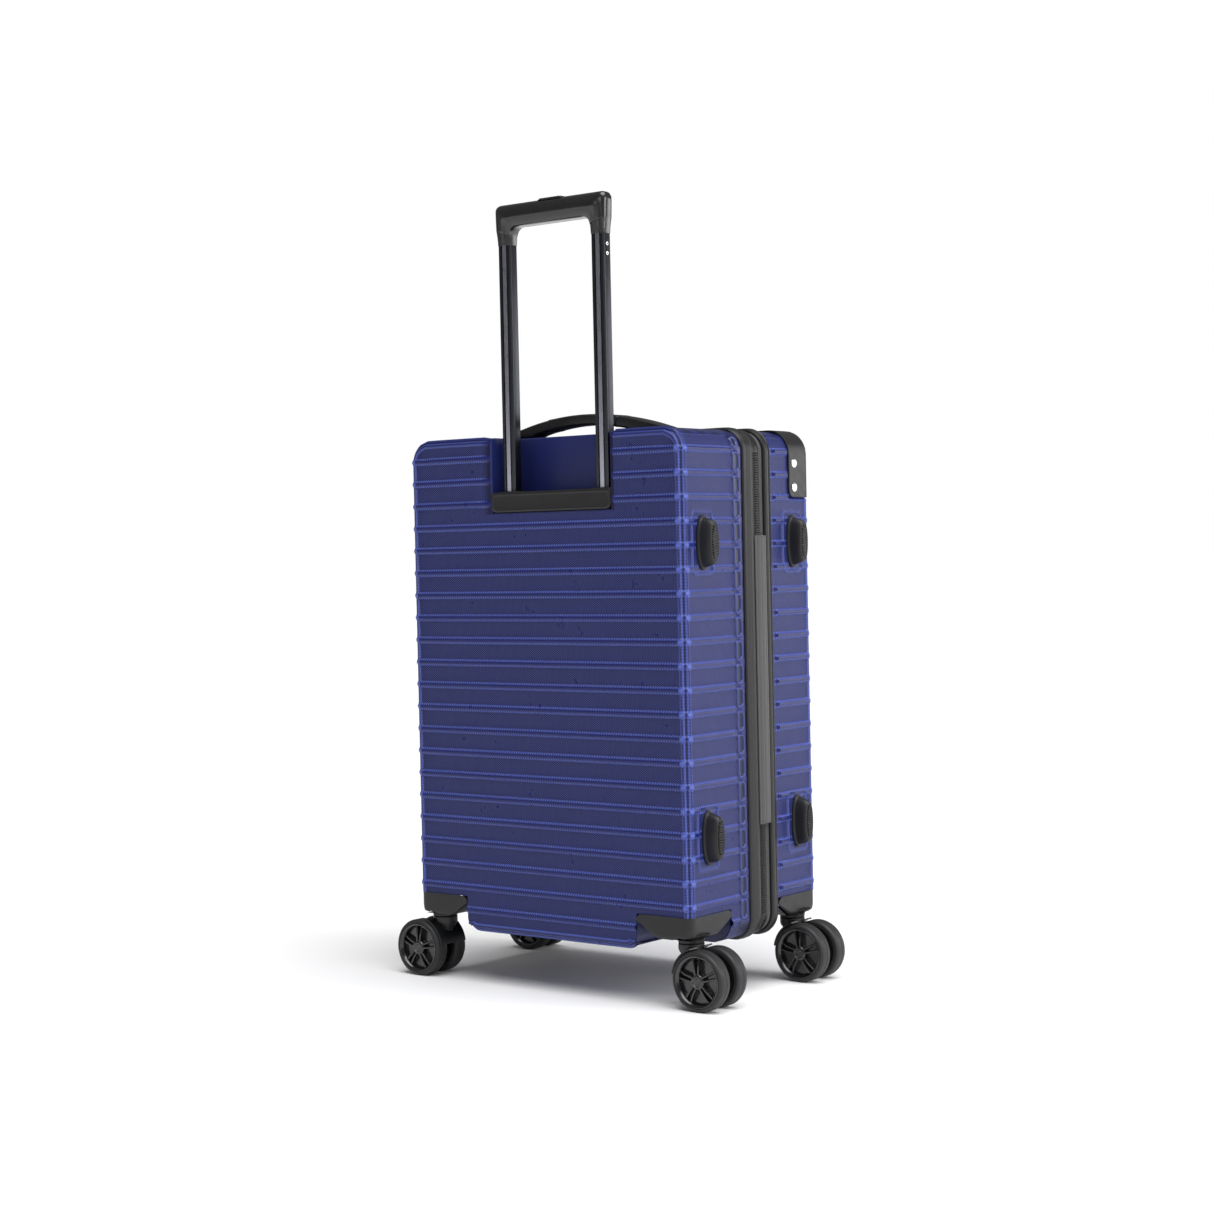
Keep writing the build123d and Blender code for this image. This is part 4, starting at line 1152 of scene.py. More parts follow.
def grip():
    """Moulded pull grip: flared legs with two flutes, inclined top bar."""
    low, high = box_mm("trolley_grip")
    half = TUBE_SPACING / 2
    bar_low, bar_high = high.z - 23.0, high.z
    inner_x, outer_x = half - 8.25, half + 8.25
    stations = []
    for z in (low.z, low.z + 0.7, low.z + 4, low.z + 8, low.z + 12, low.z + 15):
        t = (z - low.z) / 15
        stations.append(((inner_x - 0.3 * t, z), (outer_x + 1.6 * t * t, z), t * 0.35,
                         6.1 + 2.0 * t))
    radius_in, radius_out = 8.0, 5.5
    for i in range(11):
        t = i / 10
        angle = math.pi / 2 * t
        inner = (inner_x - 0.3 - radius_in + radius_in * math.cos(angle),
                 bar_low - radius_in + radius_in * math.sin(angle) + 0.0)
        top = outer_x + 2.4
        if t < 0.35:
            outer = (outer_x + 1.6 + 0.8 * t / 0.35,
                     low.z + 15 + (bar_high - radius_out - low.z - 15) * t / 0.35)
        elif t < 0.65:
            a = math.pi / 2 * (t - 0.35) / 0.3
            outer = (top - radius_out + radius_out * math.cos(a),
                     bar_high - radius_out + radius_out * math.sin(a))
        else:
            k = (t - 0.65) / 0.35
            outer = (top - radius_out - (top - radius_out - inner_x + radius_in) * k,
                     bar_high)
        stations.append((inner, outer, 0.35 + 0.65 * min(1, t * 1.5),
                         8.1 + 2.9 * min(1.0, t * 1.6)))
    for x in np.linspace(inner_x - radius_in - 4, 0, 6):
        stations.append(((x, bar_low), (x, bar_high), 1.0, 11.0))
    mirrored = [((-i[0], i[1]), (-o[0], o[1]), w, d)
                for i, o, w, d in reversed(stations[:-1])]
    stations = stations + mirrored
    leg = [(0.0, 0.0), (0.0, 0.55), (0.02, 0.82), (0.1, 0.97), (0.2, 1.0), (0.27, 1.0),
           (0.31, 0.9), (0.35, 0.9), (0.38, 1.0), (0.5, 1.0), (0.62, 1.0), (0.65, 0.9),
           (0.69, 0.9), (0.73, 1.0), (0.82, 1.0), (0.9, 0.97), (0.98, 0.82), (1.0, 0.55),
           (1.0, 0.0)]
    bar = [(0.0, 0.0), (0.0, 0.45), (0.02, 0.68), (0.1, 0.84), (0.2, 0.9), (0.27, 0.935),
           (0.31, 0.95), (0.35, 0.965), (0.38, 0.98), (0.46, 1.0), (0.55, 0.985),
           (0.62, 0.94), (0.68, 0.9), (0.73, 0.85), (0.82, 0.76), (0.9, 0.66),
           (0.96, 0.5), (1.0, 0.3), (1.0, 0.0)]
    bm = bmesh.new()
    rings = []
    for inner, outer, weight, deep in stations:
        ring = []
        for sign in (1, -1):
            order = list(zip(leg, bar))
            if sign < 0:
                order = order[::-1][1:-1]
            for (la, lb), (ba, bb) in order:
                a = la + (ba - la) * weight
                b = (lb + (bb - lb) * weight) * deep * sign
                x = inner[0] + (outer[0] - inner[0]) * a
                z = inner[1] + (outer[1] - inner[1]) * a
                ring.append(bm.verts.new((TROLLEY_X + x, TUBE_Y + b, z)))
        rings.append(ring)
    bridge(bm, rings, caps=True)
    well = rounded_outline(15.2, 6.6, 3.2, 5)
    hole = rounded_outline(14.4, 5.8, 2.8, 5)
    a = [bm.verts.new((TROLLEY_X + u, TUBE_Y + v, high.z - 0.4)) for u, v in well]
    b = [bm.verts.new((TROLLEY_X + u, TUBE_Y + v, high.z + 0.45)) for u, v in hole]
    bridge(bm, [a, b])
    bm.faces.new(b)
    finish_piece(from_bmesh("pull_grip", bm, ["gloss_black"]), "trolley_carriage",
                 ["trolley_grip"], 38.0)

    low, high = box_mm("release_button")
    bm = bmesh.new()
    add_prism(bm, rounded_outline(14.0, 5.5, 2.7, 6),
              lambda u, v, w: (TROLLEY_X + u, TUBE_Y + v, high.z - 5.9 + w), 5.5)
    bevel_sharp(bm, 0.9, 3, 50)
    for i in range(-4, 5):
        add_bar(bm, (TROLLEY_X + i * 2.4 - 0.45, TUBE_Y - 3.2, high.z - 0.9),
                (TROLLEY_X + i * 2.4 + 0.45, TUBE_Y + 3.2, high.z), 0.2)
    finish_piece(from_bmesh("release_push_button", bm, ["black_plastic"]),
                 "trolley_release", ["release_button"])


def dome(bm, centre, axis, radius, height):
    """Rivet head with a small ring pressed into its middle."""
    profile = [(0.0, radius), (height * 0.45, radius), (height * 0.85, radius * 0.82),
               (height, radius * 0.6), (height * 0.92, radius * 0.5),
               (height * 0.7, radius * 0.34), (height * 0.7, radius * 0.02)]
    add_lathe(bm, profile, centre, axis, 28)


def grip_rivets():
    low, high = box_mm("grip_rivets")
    bm = bmesh.new()
    for side, x in zip((-1, 1), TUBES):
        for z in (low.z + 2.2, high.z - 2.2):
            dome(bm, (x + side * 7.6, TUBE_Y, z), (side, 0, 0), 2.2, 0.5)
    finish_piece(from_bmesh("grip_rivet_heads", bm, ["chrome"]), "trolley_carriage",
                 ["grip_rivets"], 40.0)


collars()
bezel()
grip()
grip_rivets()


# ---------------------------------------------------------------- carry handles
def carry_handle(name, node, body, place):
    """Arched grip: soft centre between two slanted seams, thinning to its end plates."""
    def height(x):
        """Lower and upper heights of the arch at x."""
        a = abs(x)
        curve = 21.6 - 16.6 * (a / 100) ** 2
        top = min(curve, max(0.6, (104.2 - a) * 1.9 + 0.6)) if a > 96 else curve
        low = 10.6 - 8.1 * (a / 62) ** 2 if a < 62 else 2.5 - min(2.1, (a - 62) * 0.55)
        return max(low, 0.4), top

    stations = sorted(set([-104.0, -103.2, -102, -100, -97, -93, 104.0, 103.2, 102, 100,
                           97, 93] + list(np.linspace(-90, 90, 61))
                          + [s * (43 + d) for s in (-1, 1)
                             for d in (-0.9, -0.5, 0.5, 0.9)]))
    section = rounded_outline(1.0, 1.0, 0.42, 5)
    bm = bmesh.new()
    rings = []
    for x in stations:
        low, top = height(x)
        seam = abs(abs(x) - 43)
        middle = abs(x) < 43
        shrink = 0.93 if seam < 0.6 else 1.0
        half_wide = (12.0 if middle else 11.2 - 1.6 * max(0.0, (abs(x) - 60) / 44)) * shrink
        half_tall = (top - low) / 2 * (shrink if middle or seam < 0.6 else 0.97)
        ring = []
        for u, v in section:
            lean = 0.35 * v * half_tall * (1 if x > 0 else -1) \
                * max(0.0, 1 - seam / 6.0)
            ring.append(bm.verts.new(place(x + lean, u * half_wide,
                                           (top + low) / 2 + v * half_tall)))
        rings.append(ring)
    bridge(bm, rings, caps=True)
    for side in (-1, 1):
        add_lathe(bm, [(-11.5, 3.0), (1.0, 3.0)], place(side * 90, 0, 0),
                  Vector(place(0, 0, 1)) - Vector(place(0, 0, 0)), 20)
    obj = from_bmesh(name, bm, ["soft_rubber"])
    return finish_piece(obj, body, [node], 38.0)


top_low, top_high = box_mm("top_handle_grip")
top_x, top_y = (top_low.x + top_high.x) / 2, (top_low.y + top_high.y) / 2
side_low, side_high = box_mm("side_handle_grip")
side_y, side_z = (side_low.y + side_high.y) / 2, (side_low.z + side_high.z) / 2
carry_handle("top_carry_handle", "top_handle_grip", "top_handle",
             lambda u, v, w: (top_x + u, top_y + v, top_high.z - 21.6 + w))
carry_handle("side_carry_handle", "side_handle_grip", "side_handle",
             lambda u, v, w: (side_high.x - 21.6 + w, side_y + v, side_z + u))


def handle_plates():
    """Sockets and shallow plates where the carry handles enter the shell."""
    bm = bmesh.new()
    for place in (lambda u, v, w: (top_x + u, top_y + v, top_high.z - 21.6 + w),
                  lambda u, v, w: (side_high.x - 21.6 + w, side_y + v, side_z + u)):
        axis = Vector(place(0, 0, 1)) - Vector(place(0, 0, 0))
        for side in (-1, 1):
            add_lathe(bm, [(-13.4, 6.3), (-5.0, 6.3), (-5.0, 7.7), (-2.9, 7.7),
                           (-2.6, 6.3), (0.15, 6.2), (0.2, 3.4), (-12, 3.3)],
                      place(side * 90, 0, 0), axis, 28)
    finish_piece(from_bmesh("handle_sockets", bm, ["black_plastic"]), "case_back",
                 ["handle_mounts"])


handle_plates()


# ---------------------------------------------------------------- side feet
def side_feet(name, node, body, low, high):
    """Oval feet: lip, leaning wall, and a ribbed oval pad on the end."""
    y = (low.y + high.y) / 2
    half_wide, half_long = (high.y - low.y) / 2, FOOT_SIZE[1] / 2
    rise = -SIDE - low.x
    bm = bmesh.new()
    profile = [(0.0, 1.0, 1.0), (1.6, 1.0, 1.0), (2.4, 0.965, 0.985), (2.7, 0.9, 0.955),
               (2.5, 0.86, 0.93), (2.9, 0.83, 0.915), (4.2, 0.82, 0.905),
               (10.0, 0.79, 0.85), (13.2, 0.755, 0.8), (14.6, 0.7, 0.765),
               (15.2, 0.63, 0.725), (15.3, 0.57, 0.69), (14.7, 0.53, 0.665),
               (14.6, 0.5, 0.65)]
    for z in FEET_Z:
        rings = []
        for out, wide, tall in profile:
            ring = []
            for i in range(56):
                angle = 2 * math.pi * i / 56
                c, s = math.cos(angle), math.sin(angle)
                ring.append(bm.verts.new((
                    -SIDE - min(out, rise - 0.2),
                    y + half_wide * wide * math.copysign(abs(c) ** 0.86, c),
                    z + half_long * tall * math.copysign(abs(s) ** 0.9, s))))
            rings.append(ring)
        bridge(bm, rings)
        bm.faces.new(rings[-1])
        for k in range(-6, 7):
            dz = k * 2.45
            reach = half_wide * 0.48 * math.sqrt(max(0.0, 1 - (dz / (half_long * 0.64)) ** 2))
            if reach < 0.8:
                continue
            made = add_box(bm, (-SIDE - rise, y - reach, z + dz - 0.7),
                           (-SIDE - 14.2, y + reach, z + dz + 0.7))
            bmesh.ops.bevel(bm, geom=list({e for v in made for e in v.link_edges}),
                            offset=0.4, segments=2, affect="EDGES")
    finish_piece(from_bmesh(name, bm, ["soft_rubber"]), body, [node], 42.0)


side_feet("back_feet", "back_side_feet", "case_back", foot_low, foot_high)
side_feet("lid_feet", "front_side_feet", "case_lid", lid_foot_low, lid_foot_high)


# -------------------------------------------------------- corner guards, caster housings
def round_corner(a, b, a_end, a_sign, b_end, b_sign, radius):
    """Bends the square corner of a parameter rectangle into an arc."""
    ca, cb = a_end - a_sign * radius, b_end - b_sign * radius
    da, db = (a - ca) * a_sign, (b - cb) * b_sign
    inside = (da > 0) & (db > 0)
    length = np.where(inside, np.hypot(da, db), 1.0)
    scale = np.where(inside, np.maximum(da, db) / length, 1.0)
    return (np.where(inside, ca + a_sign * da * scale, a),
            np.where(inside, cb + b_sign * db * scale, b))


def grid_faces(shape, start, flip=False):
    index = np.arange(shape[0] * shape[1]).reshape(shape) + start
    cells = np.stack([index[:-1, :-1], index[:-1, 1:], index[1:, 1:], index[1:, :-1]], -1)
    cells = cells.reshape(-1, 4)
    return cells[:, ::-1] if flip else cells


def weld(obj, distance=0.00003):
    bm = bmesh.new()
    bm.from_mesh(obj.data)
    bmesh.ops.remove_doubles(bm, verts=bm.verts, dist=distance)
    bmesh.ops.recalc_face_normals(bm, faces=bm.faces)
    bm.to_mesh(obj.data)
    bm.free()


def corner_guards():
    reach, drop = GUARD_REACH, FACE + guard_high.y
    low_v = guard_low.z - MIDDLE
    edge = [0, 1.2, 2.5, 3.8, 5, 6.2, 7.5]
    along_u = np.array([SIDE - e for e in reversed(edge + [11, 16, 22, 27, 32, 36, 38, 40,
                                                          41, reach])])
    along_v = np.array([HALF_HEIGHT - e for e in reversed(
        edge + [11, 16, 22, 30, 40, 50, 58, 61, 63, 64.5, HALF_HEIGHT - low_v])])
    along_d = np.array(edge + [11, 16, 22, 27, 30, 32, 34, drop])
    parts = []
    for sign in (-1, 1):
        u, v = np.meshgrid(along_u, along_v)
        u, v = round_corner(u, v, SIDE - reach, -1, low_v, -1, 7.0)
        face = skin_point(sign * u, v, None, -1, 0.35)
        parts.append((face.reshape(-1, 3), grid_faces(u.shape, 0)))
        d, v = np.meshgrid(along_d, along_v)
        d, v = round_corner(d, v, drop, 1, low_v, -1, 7.0)
        wall = skin_point(np.full_like(d, sign * SIDE), v, d, -1, 0.35)
        parts.append((wall.reshape(-1, 3), grid_faces(d.shape, 0)))
        d, u = np.meshgrid(along_d, along_u)
        d, u = round_corner(d, u, drop, 1, SIDE - reach, -1, 7.0)
        top = skin_point(sign * u, np.full_like(d, HALF_HEIGHT), d, -1, 0.35)
        parts.append((top.reshape(-1, 3), grid_faces(d.shape, 0)))
    points, faces = joined(parts)
    obj = from_arrays("lid_corner_guards", points, faces, ["black_plastic"])
    weld(obj)
    apply_modifier(obj, "SOLIDIFY", thickness=0.0019, offset=1.0)
    apply_modifier(obj, "BEVEL", width=0.0006, segments=2, limit_method="ANGLE",
                   angle_limit=math.radians(50))
    finish_piece(obj, "case_lid", ["corner_guards"], 40.0)
    low, high = box_mm("guard_rivets")
    bm = bmesh.new()
    for side in (-1, 1):
        for z in (low.z + 4.5, high.z - 4.5):
            dome(bm, (side * (SIDE + 2.1), (low.y + high.y) / 2, z), (side, 0, 0), 4.5, 1.5)
    finish_piece(from_bmesh("guard_rivet_heads", bm, ["chrome"]), "case_lid",
                 ["guard_rivets"], 40.0)


def caster_housing(name, facing, body, node):
    """Moulded corner blocks that the casters turn in, running down into a neck."""
    top, bottom, length = WELL_TOP, 66.0, WELL_LENGTH
    edge = [0, 1.2, 2.5, 3.8, 5, 6.2, 7.5]
    along_u = np.array(edge + [11, 16, 22, 30, 38, 45, 50, 55, 60, length])
    along_d = np.array(edge + [11, 16, 22, 30, 38, 45, 50, 55, 60, 64, WELL_DEPTH])
    t = np.array([0, 0.04, 0.1, 0.2, 0.35, 0.5, 0.65, 0.8, 0.9, 1.0])

    def floor(distance, end):
        return bottom + np.clip((distance - end + 23) / 23, 0, 1) * 15.0

    parts = []
    for sign in (-1, 1):
        u, k = np.meshgrid(along_u, t)
        start = floor(u, length)
        z = start + k * (top - start)
        ru, rz = round_corner(u, z, length, 1, top, 1, 6.8)
        face = skin_point(sign * (SIDE - ru), rz - MIDDLE, None, facing,
                          0.9 - 1.6 * (1 - np.clip(k * 9, 0, 1)) ** 2)
        parts.append((face.reshape(-1, 3), grid_faces(u.shape, 0)))
        d, k = np.meshgrid(along_d, t)
        start = floor(d, WELL_DEPTH)
        z = start + k * (top - start)
        rd, rz = round_corner(d, z, WELL_DEPTH, 1, top, 1, 6.8)
        wall = skin_point(np.full_like(d, sign * SIDE), rz - MIDDLE, rd, facing,
                          0.9 - 1.6 * (1 - np.clip(k * 9, 0, 1)) ** 2)
        parts.append((wall.reshape(-1, 3), grid_faces(d.shape, 0)))
        u, d = np.meshgrid(along_u, along_d)
        z = np.maximum(floor(u, length), floor(d, WELL_DEPTH))
        edge_point = skin_point(sign * (SIDE - along_u), floor(along_u, length) - MIDDLE,
                                None, facing, -0.7)
        wall_point = skin_point(np.full_like(along_d, sign * SIDE),
                                floor(along_d, WELL_DEPTH) - MIDDLE, along_d, facing,
                                -0.7)
        x = sign * np.minimum(np.abs(edge_point[:, 0])[None, :],
                              np.abs(wall_point[:, 0])[:, None])
        y = facing * np.minimum(facing * wall_point[:, 1][:, None],
                                np.abs(edge_point[:, 1])[None, :])
        under = np.stack([x * np.ones_like(z), y * np.ones_like(z), z], -1)
        parts.append((under.reshape(-1, 3), grid_faces(z.shape, 0)))
    points, faces = joined(parts)
    obj = from_arrays(name, points, faces, ["black_plastic"])
    weld(obj, 0.0004)
    bm = bmesh.new()
    for sign in (-1, 1):
        add_lathe(bm, [(0.0, 19.0), (1.6, 16.4), (2.6, 14.4), (3.8, 13.3), (5.0, 12.8),
                       (7.6, 12.6), (8.0, 12.2), (8.0, 4.2), (2.0, 4.0)],
                  (sign * swivel_x, facing * swivel_y, bottom + 4.0), (0, 0, -1), 48)
    neck = from_bmesh(name + "_neck", bm, ["black_plastic"])
    join([obj, neck])
    finish_piece(obj, body, [node], 40.0)


def join(objects):
    """Joins meshes into the first one."""
    bm = bmesh.new()
    for obj in objects:
        bm.from_mesh(obj.data)
    bm.to_mesh(objects[0].data)
    bm.free()
    for obj in objects[1:]:
        discard(obj)


swivel_x, swivel_y = 157.3, 87.3
corner_guards()
caster_housing("back_caster_blocks", 1, "case_back", "back_caster_housings")
caster_housing("lid_caster_blocks", -1, "case_lid", "front_caster_housings")


def well_walls(name, facing, body):
    """Shell walls beside the casters, rounded into the underside."""
    bm = bmesh.new()
    x_end, depth_end = SIDE - WELL_LENGTH, WELL_DEPTH
    y_end = facing * (FACE - depth_end)
    for sign in (-1, 1):
        grid = []
        for z in (87.0, 80.0, BOTTOM + 13, BOTTOM + 10, BOTTOM + 7, BOTTOM + 4, BOTTOM + 2,
                  BOTTOM):
            line = []
            for depth in (0.6, 4, 12, 30, 50, 56, 61, depth_end):
                x, low = round_beside_well(np.array(sign * (x_end + 0.02)), np.array(z),
                                           depth)
                line.append(bm.verts.new((float(x), facing * (FACE - depth), float(low))))
            grid.append(line)
        bridge(bm, grid, closed=False)
        xs = [x_end, 125, 140, 155, SIDE - 5, SIDE - 0.8]
        zs = [87.0, 70.0, BOTTOM + 12, BOTTOM + 5, BOTTOM + 0.4]
        grid = []
        for z in zs:
            line = []
            for x in xs:
                drop = max(0.0, BOTTOM + 22 - z)
                limit = SIDE - 22 + math.sqrt(max(0.0, 22 ** 2 - drop ** 2)) - 0.8
                line.append(bm.verts.new((sign * min(x, limit), y_end, z)))
            grid.append(line)
        bridge(bm, grid, closed=False)
    finish_piece(from_bmesh(name, bm, ["shell_smooth"]), body, sharp=40.0)


well_walls("back_well_walls", 1, "case_back")
well_walls("lid_well_walls", -1, "case_lid")


# ---------------------------------------------------------------- casters
def local_caster(end, side):
    """Turns caster coordinates, trailing along +X, into the frame's millimetres."""
    turn = 1 if side == "right" else -1
    x0 = turn * swivel_x
    y0 = swivel_y if end == "back" else -swivel_y
    return lambda x, y, z: (x0 + turn * x, y0 + turn * y, z)


TRAIL, AXLE_Z = 20.5, 29.0                   # axle, behind the swivel and over the floor


def caster_fork(end, side):
    place = local_caster(end, side)
    bm = bmesh.new()
    arm = [(-8.5, 57.5), (9.5, 57.5), (17, 52), (24, 43), (28, 32), (28.5, 25), (25, 21),
           (17, 20.5), (13, 25), (10, 34), (4, 44), (-4, 50)]
    add_prism(bm, arm, lambda u, v, w: place(u, w - 4.6, v), 9.2)
    arc = [math.radians(a) for a in range(108, 172, 7)]
    saddle = [(TRAIL + 31.7 * math.cos(a), AXLE_Z + 31.7 * math.sin(a)) for a in arc]
    saddle += [(TRAIL + 30.2 * math.cos(a), AXLE_Z + 30.2 * math.sin(a))
               for a in reversed(arc)]
    add_prism(bm, saddle, lambda u, v, w: place(u, w - 18.6, v), 37.2)
    bevel_sharp(bm, 0.7, 2, 50)
    add_lathe(bm, [(-61.8, 10.6), (-61.5, 12.0), (-61.0, 12.5), (-56.4, 12.6),
                   (-54.0, 11.9), (-51.0, 9.8), (-47.0, 7.0), (-43.0, 5.0), (-40.0, 3.0)],
              place(0, 0, 0), (0, 0, -1), 36)
    add_lathe(bm, [(-5.8, 7.6), (-5.8, 8.2), (5.8, 8.2), (5.8, 7.6)],
              place(TRAIL, 0, AXLE_Z), (0, 1, 0), 28)
    finish_piece(from_bmesh(f"fork_{end}_{side}", bm, ["soft_black"]),
                 f"caster_{end}_{side}", [f"caster_{end}_{side}_fork"],
                 35.0)


def spoke(bm, place, angle, offset, sign):
    """One of a twin pair of spokes on the outer face of a wheel."""
    verts = []
    for r, spread, half, deep in ((5.6, 0.62, 1.25, 21.2), (14.0, 0.85, 1.15, 20.9),
                                  (22.6, 1.15, 1.35, 19.6)):
        centre = offset * spread
        for across, y in ((centre - half, 15.6), (centre - half * 0.75, deep),
                          (centre + half * 0.75, deep), (centre + half, 15.6)):
            x = r * math.cos(angle) - across * math.sin(angle)
            z = r * math.sin(angle) + across * math.cos(angle)
            verts.append(bm.verts.new(place(TRAIL + x, sign * y, AXLE_Z + z)))
    for k in (0, 4):
        for i in range(4):
            j = (i + 1) % 4
            bm.faces.new((verts[k + i], verts[k + j], verts[k + 4 + j], verts[k + 4 + i]))
    bm.faces.new(verts[:4])
    bm.faces.new(verts[8:])


def wheels(end, side):
    place = local_caster(end, side)
    turn = 1 if side == "right" else -1
    centre = place(TRAIL, 0, AXLE_Z)
    tyres, hubs = bmesh.new(), bmesh.new()
    for sign in (-1, 1):
        axis = (0, sign * turn, 0)
        add_lathe(tyres, [(6.2, 23.6), (6.2, 26.4), (6.6, 27.6), (7.4, 28.4), (8.8, 29.0),
                          (12.4, 29.0), (12.7, 28.7), (15.3, 28.7), (15.6, 29.0),
                          (19.2, 29.0), (20.5, 28.5), (21.4, 27.6), (21.8, 26.4),
                          (21.8, 25.6), (21.2, 25.2), (21.0, 23.6)], centre, axis, 96, True)
        add_lathe(hubs, [(20.6, 25.1), (21.7, 25.0), (22.1, 24.5), (22.0, 23.9),
                         (21.0, 22.8), (19.6, 21.8), (17.4, 21.0), (15.4, 20.8),
                         (15.4, 23.0), (20.6, 23.4)], centre, axis, 96, True)
        add_lathe(hubs, [(6.5, 23.8), (6.5, 8.5), (15.6, 8.5), (15.6, 23.8)], centre, axis,
                  64, True)
        add_lathe(hubs, [(15.0, 8.6), (19.4, 7.7), (20.9, 6.9), (21.4, 6.2), (21.5, 4.9),
                         (21.0, 4.5), (21.0, 3.1), (21.5, 2.8), (21.6, 0.05)], centre,
                  axis, 40)
        ring = bmesh.new()
        for i in range(5):
            for offset in (-2.9, 2.9):
                spoke(ring, place, math.radians(94 + 72 * i), offset, sign)
        bmesh.ops.recalc_face_normals(ring, faces=ring.faces)
        bevel_sharp(ring, 0.4, 2, 40)
        mesh = bpy.data.meshes.new("spokes")
        ring.to_mesh(mesh)
        ring.free()
        hubs.from_mesh(mesh)
        bpy.data.meshes.remove(mesh)
    finish_piece(from_bmesh(f"tyres_{end}_{side}", tyres, ["tyre_rubber"]),
                 f"wheels_{end}_{side}", [f"caster_{end}_{side}_tyres"], 35.0)
    finish_piece(from_bmesh(f"hubs_{end}_{side}", hubs, ["gloss_black"]),
                 f"wheels_{end}_{side}", [f"caster_{end}_{side}_hubs"], 35.0)


for end, side in CASTERS:
    caster_fork(end, side)
    wheels(end, side)


# -------------------------------------------------------- combination lock and zip pulls
def lock():
    low, high = box_mm("lock_body")
    middle_y, middle_z = (low.y + high.y) / 2, (low.z + high.z) / 2
    half_y, half_z = (high.y - low.y) / 2, (high.z - low.z) / 2
    bm = bmesh.new()
    layers = [(low.x, 0.0), (high.x - 2.2, 0.0), (high.x - 0.9, 0.5), (high.x, 1.7)]
    rings = []
    for x, inset in layers:
        rings.append([bm.verts.new((x, middle_y + u, middle_z + v)) for u, v in
                      rounded_outline(half_y - inset, half_z - inset, 5.0 - inset * 0.6, 6)])
    bridge(bm, rings, caps=True)
    body = from_bmesh("lock_case", bm, ["black_plastic"])
    bm = bmesh.new()
    for number in (1, 2, 3):
        dial_low, dial_high = box_mm(f"lock_dial_{number}")
        add_box(bm, (high.x - 9, middle_y - 6.7, dial_low.z - 0.25),
                (high.x + 3, middle_y + 6.7, dial_high.z + 0.25))
    add_box(bm, (high.x - 2.0, middle_y - 5.5, 312.6), (high.x + 3, middle_y + 5.5, 331.0))
    for z0, z1 in ((low.z - 3, 270.0), (336.0, high.z + 3)):
        add_box(bm, (high.x - 3.4, low.y - 3, z0), (high.x + 3, low.y + 7, z1))
    add_lathe(bm, [(high.x - 8, 4.6), (high.x + 3, 4.6)], (0, middle_y, 273.5), (1, 0, 0),
              32)
    carve(body, bm, "black_plastic")
    finish_piece(body, "case_back", ["lock_body"], 30.0)

    for number in (1, 2, 3):
        dial_low, dial_high = box_mm(f"lock_dial_{number}")
        centre = (dial_low + dial_high) / 2
        half = (dial_high.z - dial_low.z) / 2
        radius = (dial_high.x - dial_low.x) / 2
        bm = bmesh.new()
        rings = []
        for dz, shrink in ((-half, 0.9), (-half + 0.5, 1.0), (half - 0.5, 1.0),
                           (half, 0.9)):
            ring = []
            for i in range(120):
                angle = 2 * math.pi * i / 120
                notch = 0.55 * max(0.0, math.cos(10 * angle)) ** 6
                r = (radius - notch) * shrink
                ring.append(bm.verts.new((centre.x + r * math.cos(angle),
                                          centre.y + r * math.sin(angle), centre.z + dz)))
            rings.append(ring)
        bridge(bm, rings, caps=True)
        finish_piece(from_bmesh(f"number_wheel_{number}", bm, ["soft_black"]),
                     f"dial_{number}", [f"lock_dial_{number}"], 40.0)

    key_low, key_high = box_mm("lock_key_cylinder")
    centre_y, centre_z = (key_low.y + key_high.y) / 2, (key_low.z + key_high.z) / 2
    bm = bmesh.new()
    add_lathe(bm, [(key_low.x, 4.4), (key_high.x - 0.5, 4.4), (key_high.x, 3.9),
                   (key_high.x, 3.1), (key_high.x - 0.4, 2.9), (key_high.x - 0.4, 0.02)],
              (0, centre_y, centre_z), (1, 0, 0), 40)
    plug = from_bmesh("key_plug", bm, ["steel"])
    bm = bmesh.new()
    add_box(bm, (key_high.x - 3.5, centre_y - 0.55, centre_z - 2.4),
            (key_high.x + 2, centre_y + 0.55, centre_z + 2.4))
    carve(plug, bm, "steel")
    finish_piece(plug, "key_cylinder", ["lock_key_cylinder"], 30.0)

    low, high = box_mm("lock_release")
    bm = bmesh.new()
    add_box(bm, low, high)
    bevel_sharp(bm, 1.0, 3, 30)
    for k in range(4):
        z = low.z + 3.0 + k * 2.3
        add_bar(bm, (high.x - 0.3, low.y + 1.6, z - 0.45),
                (high.x + 0.3, high.y - 1.6, z + 0.45), 0.2)
    finish_piece(from_bmesh("release_slide", bm, ["soft_black"]), "lock_button",
                 ["lock_release"], 35.0)


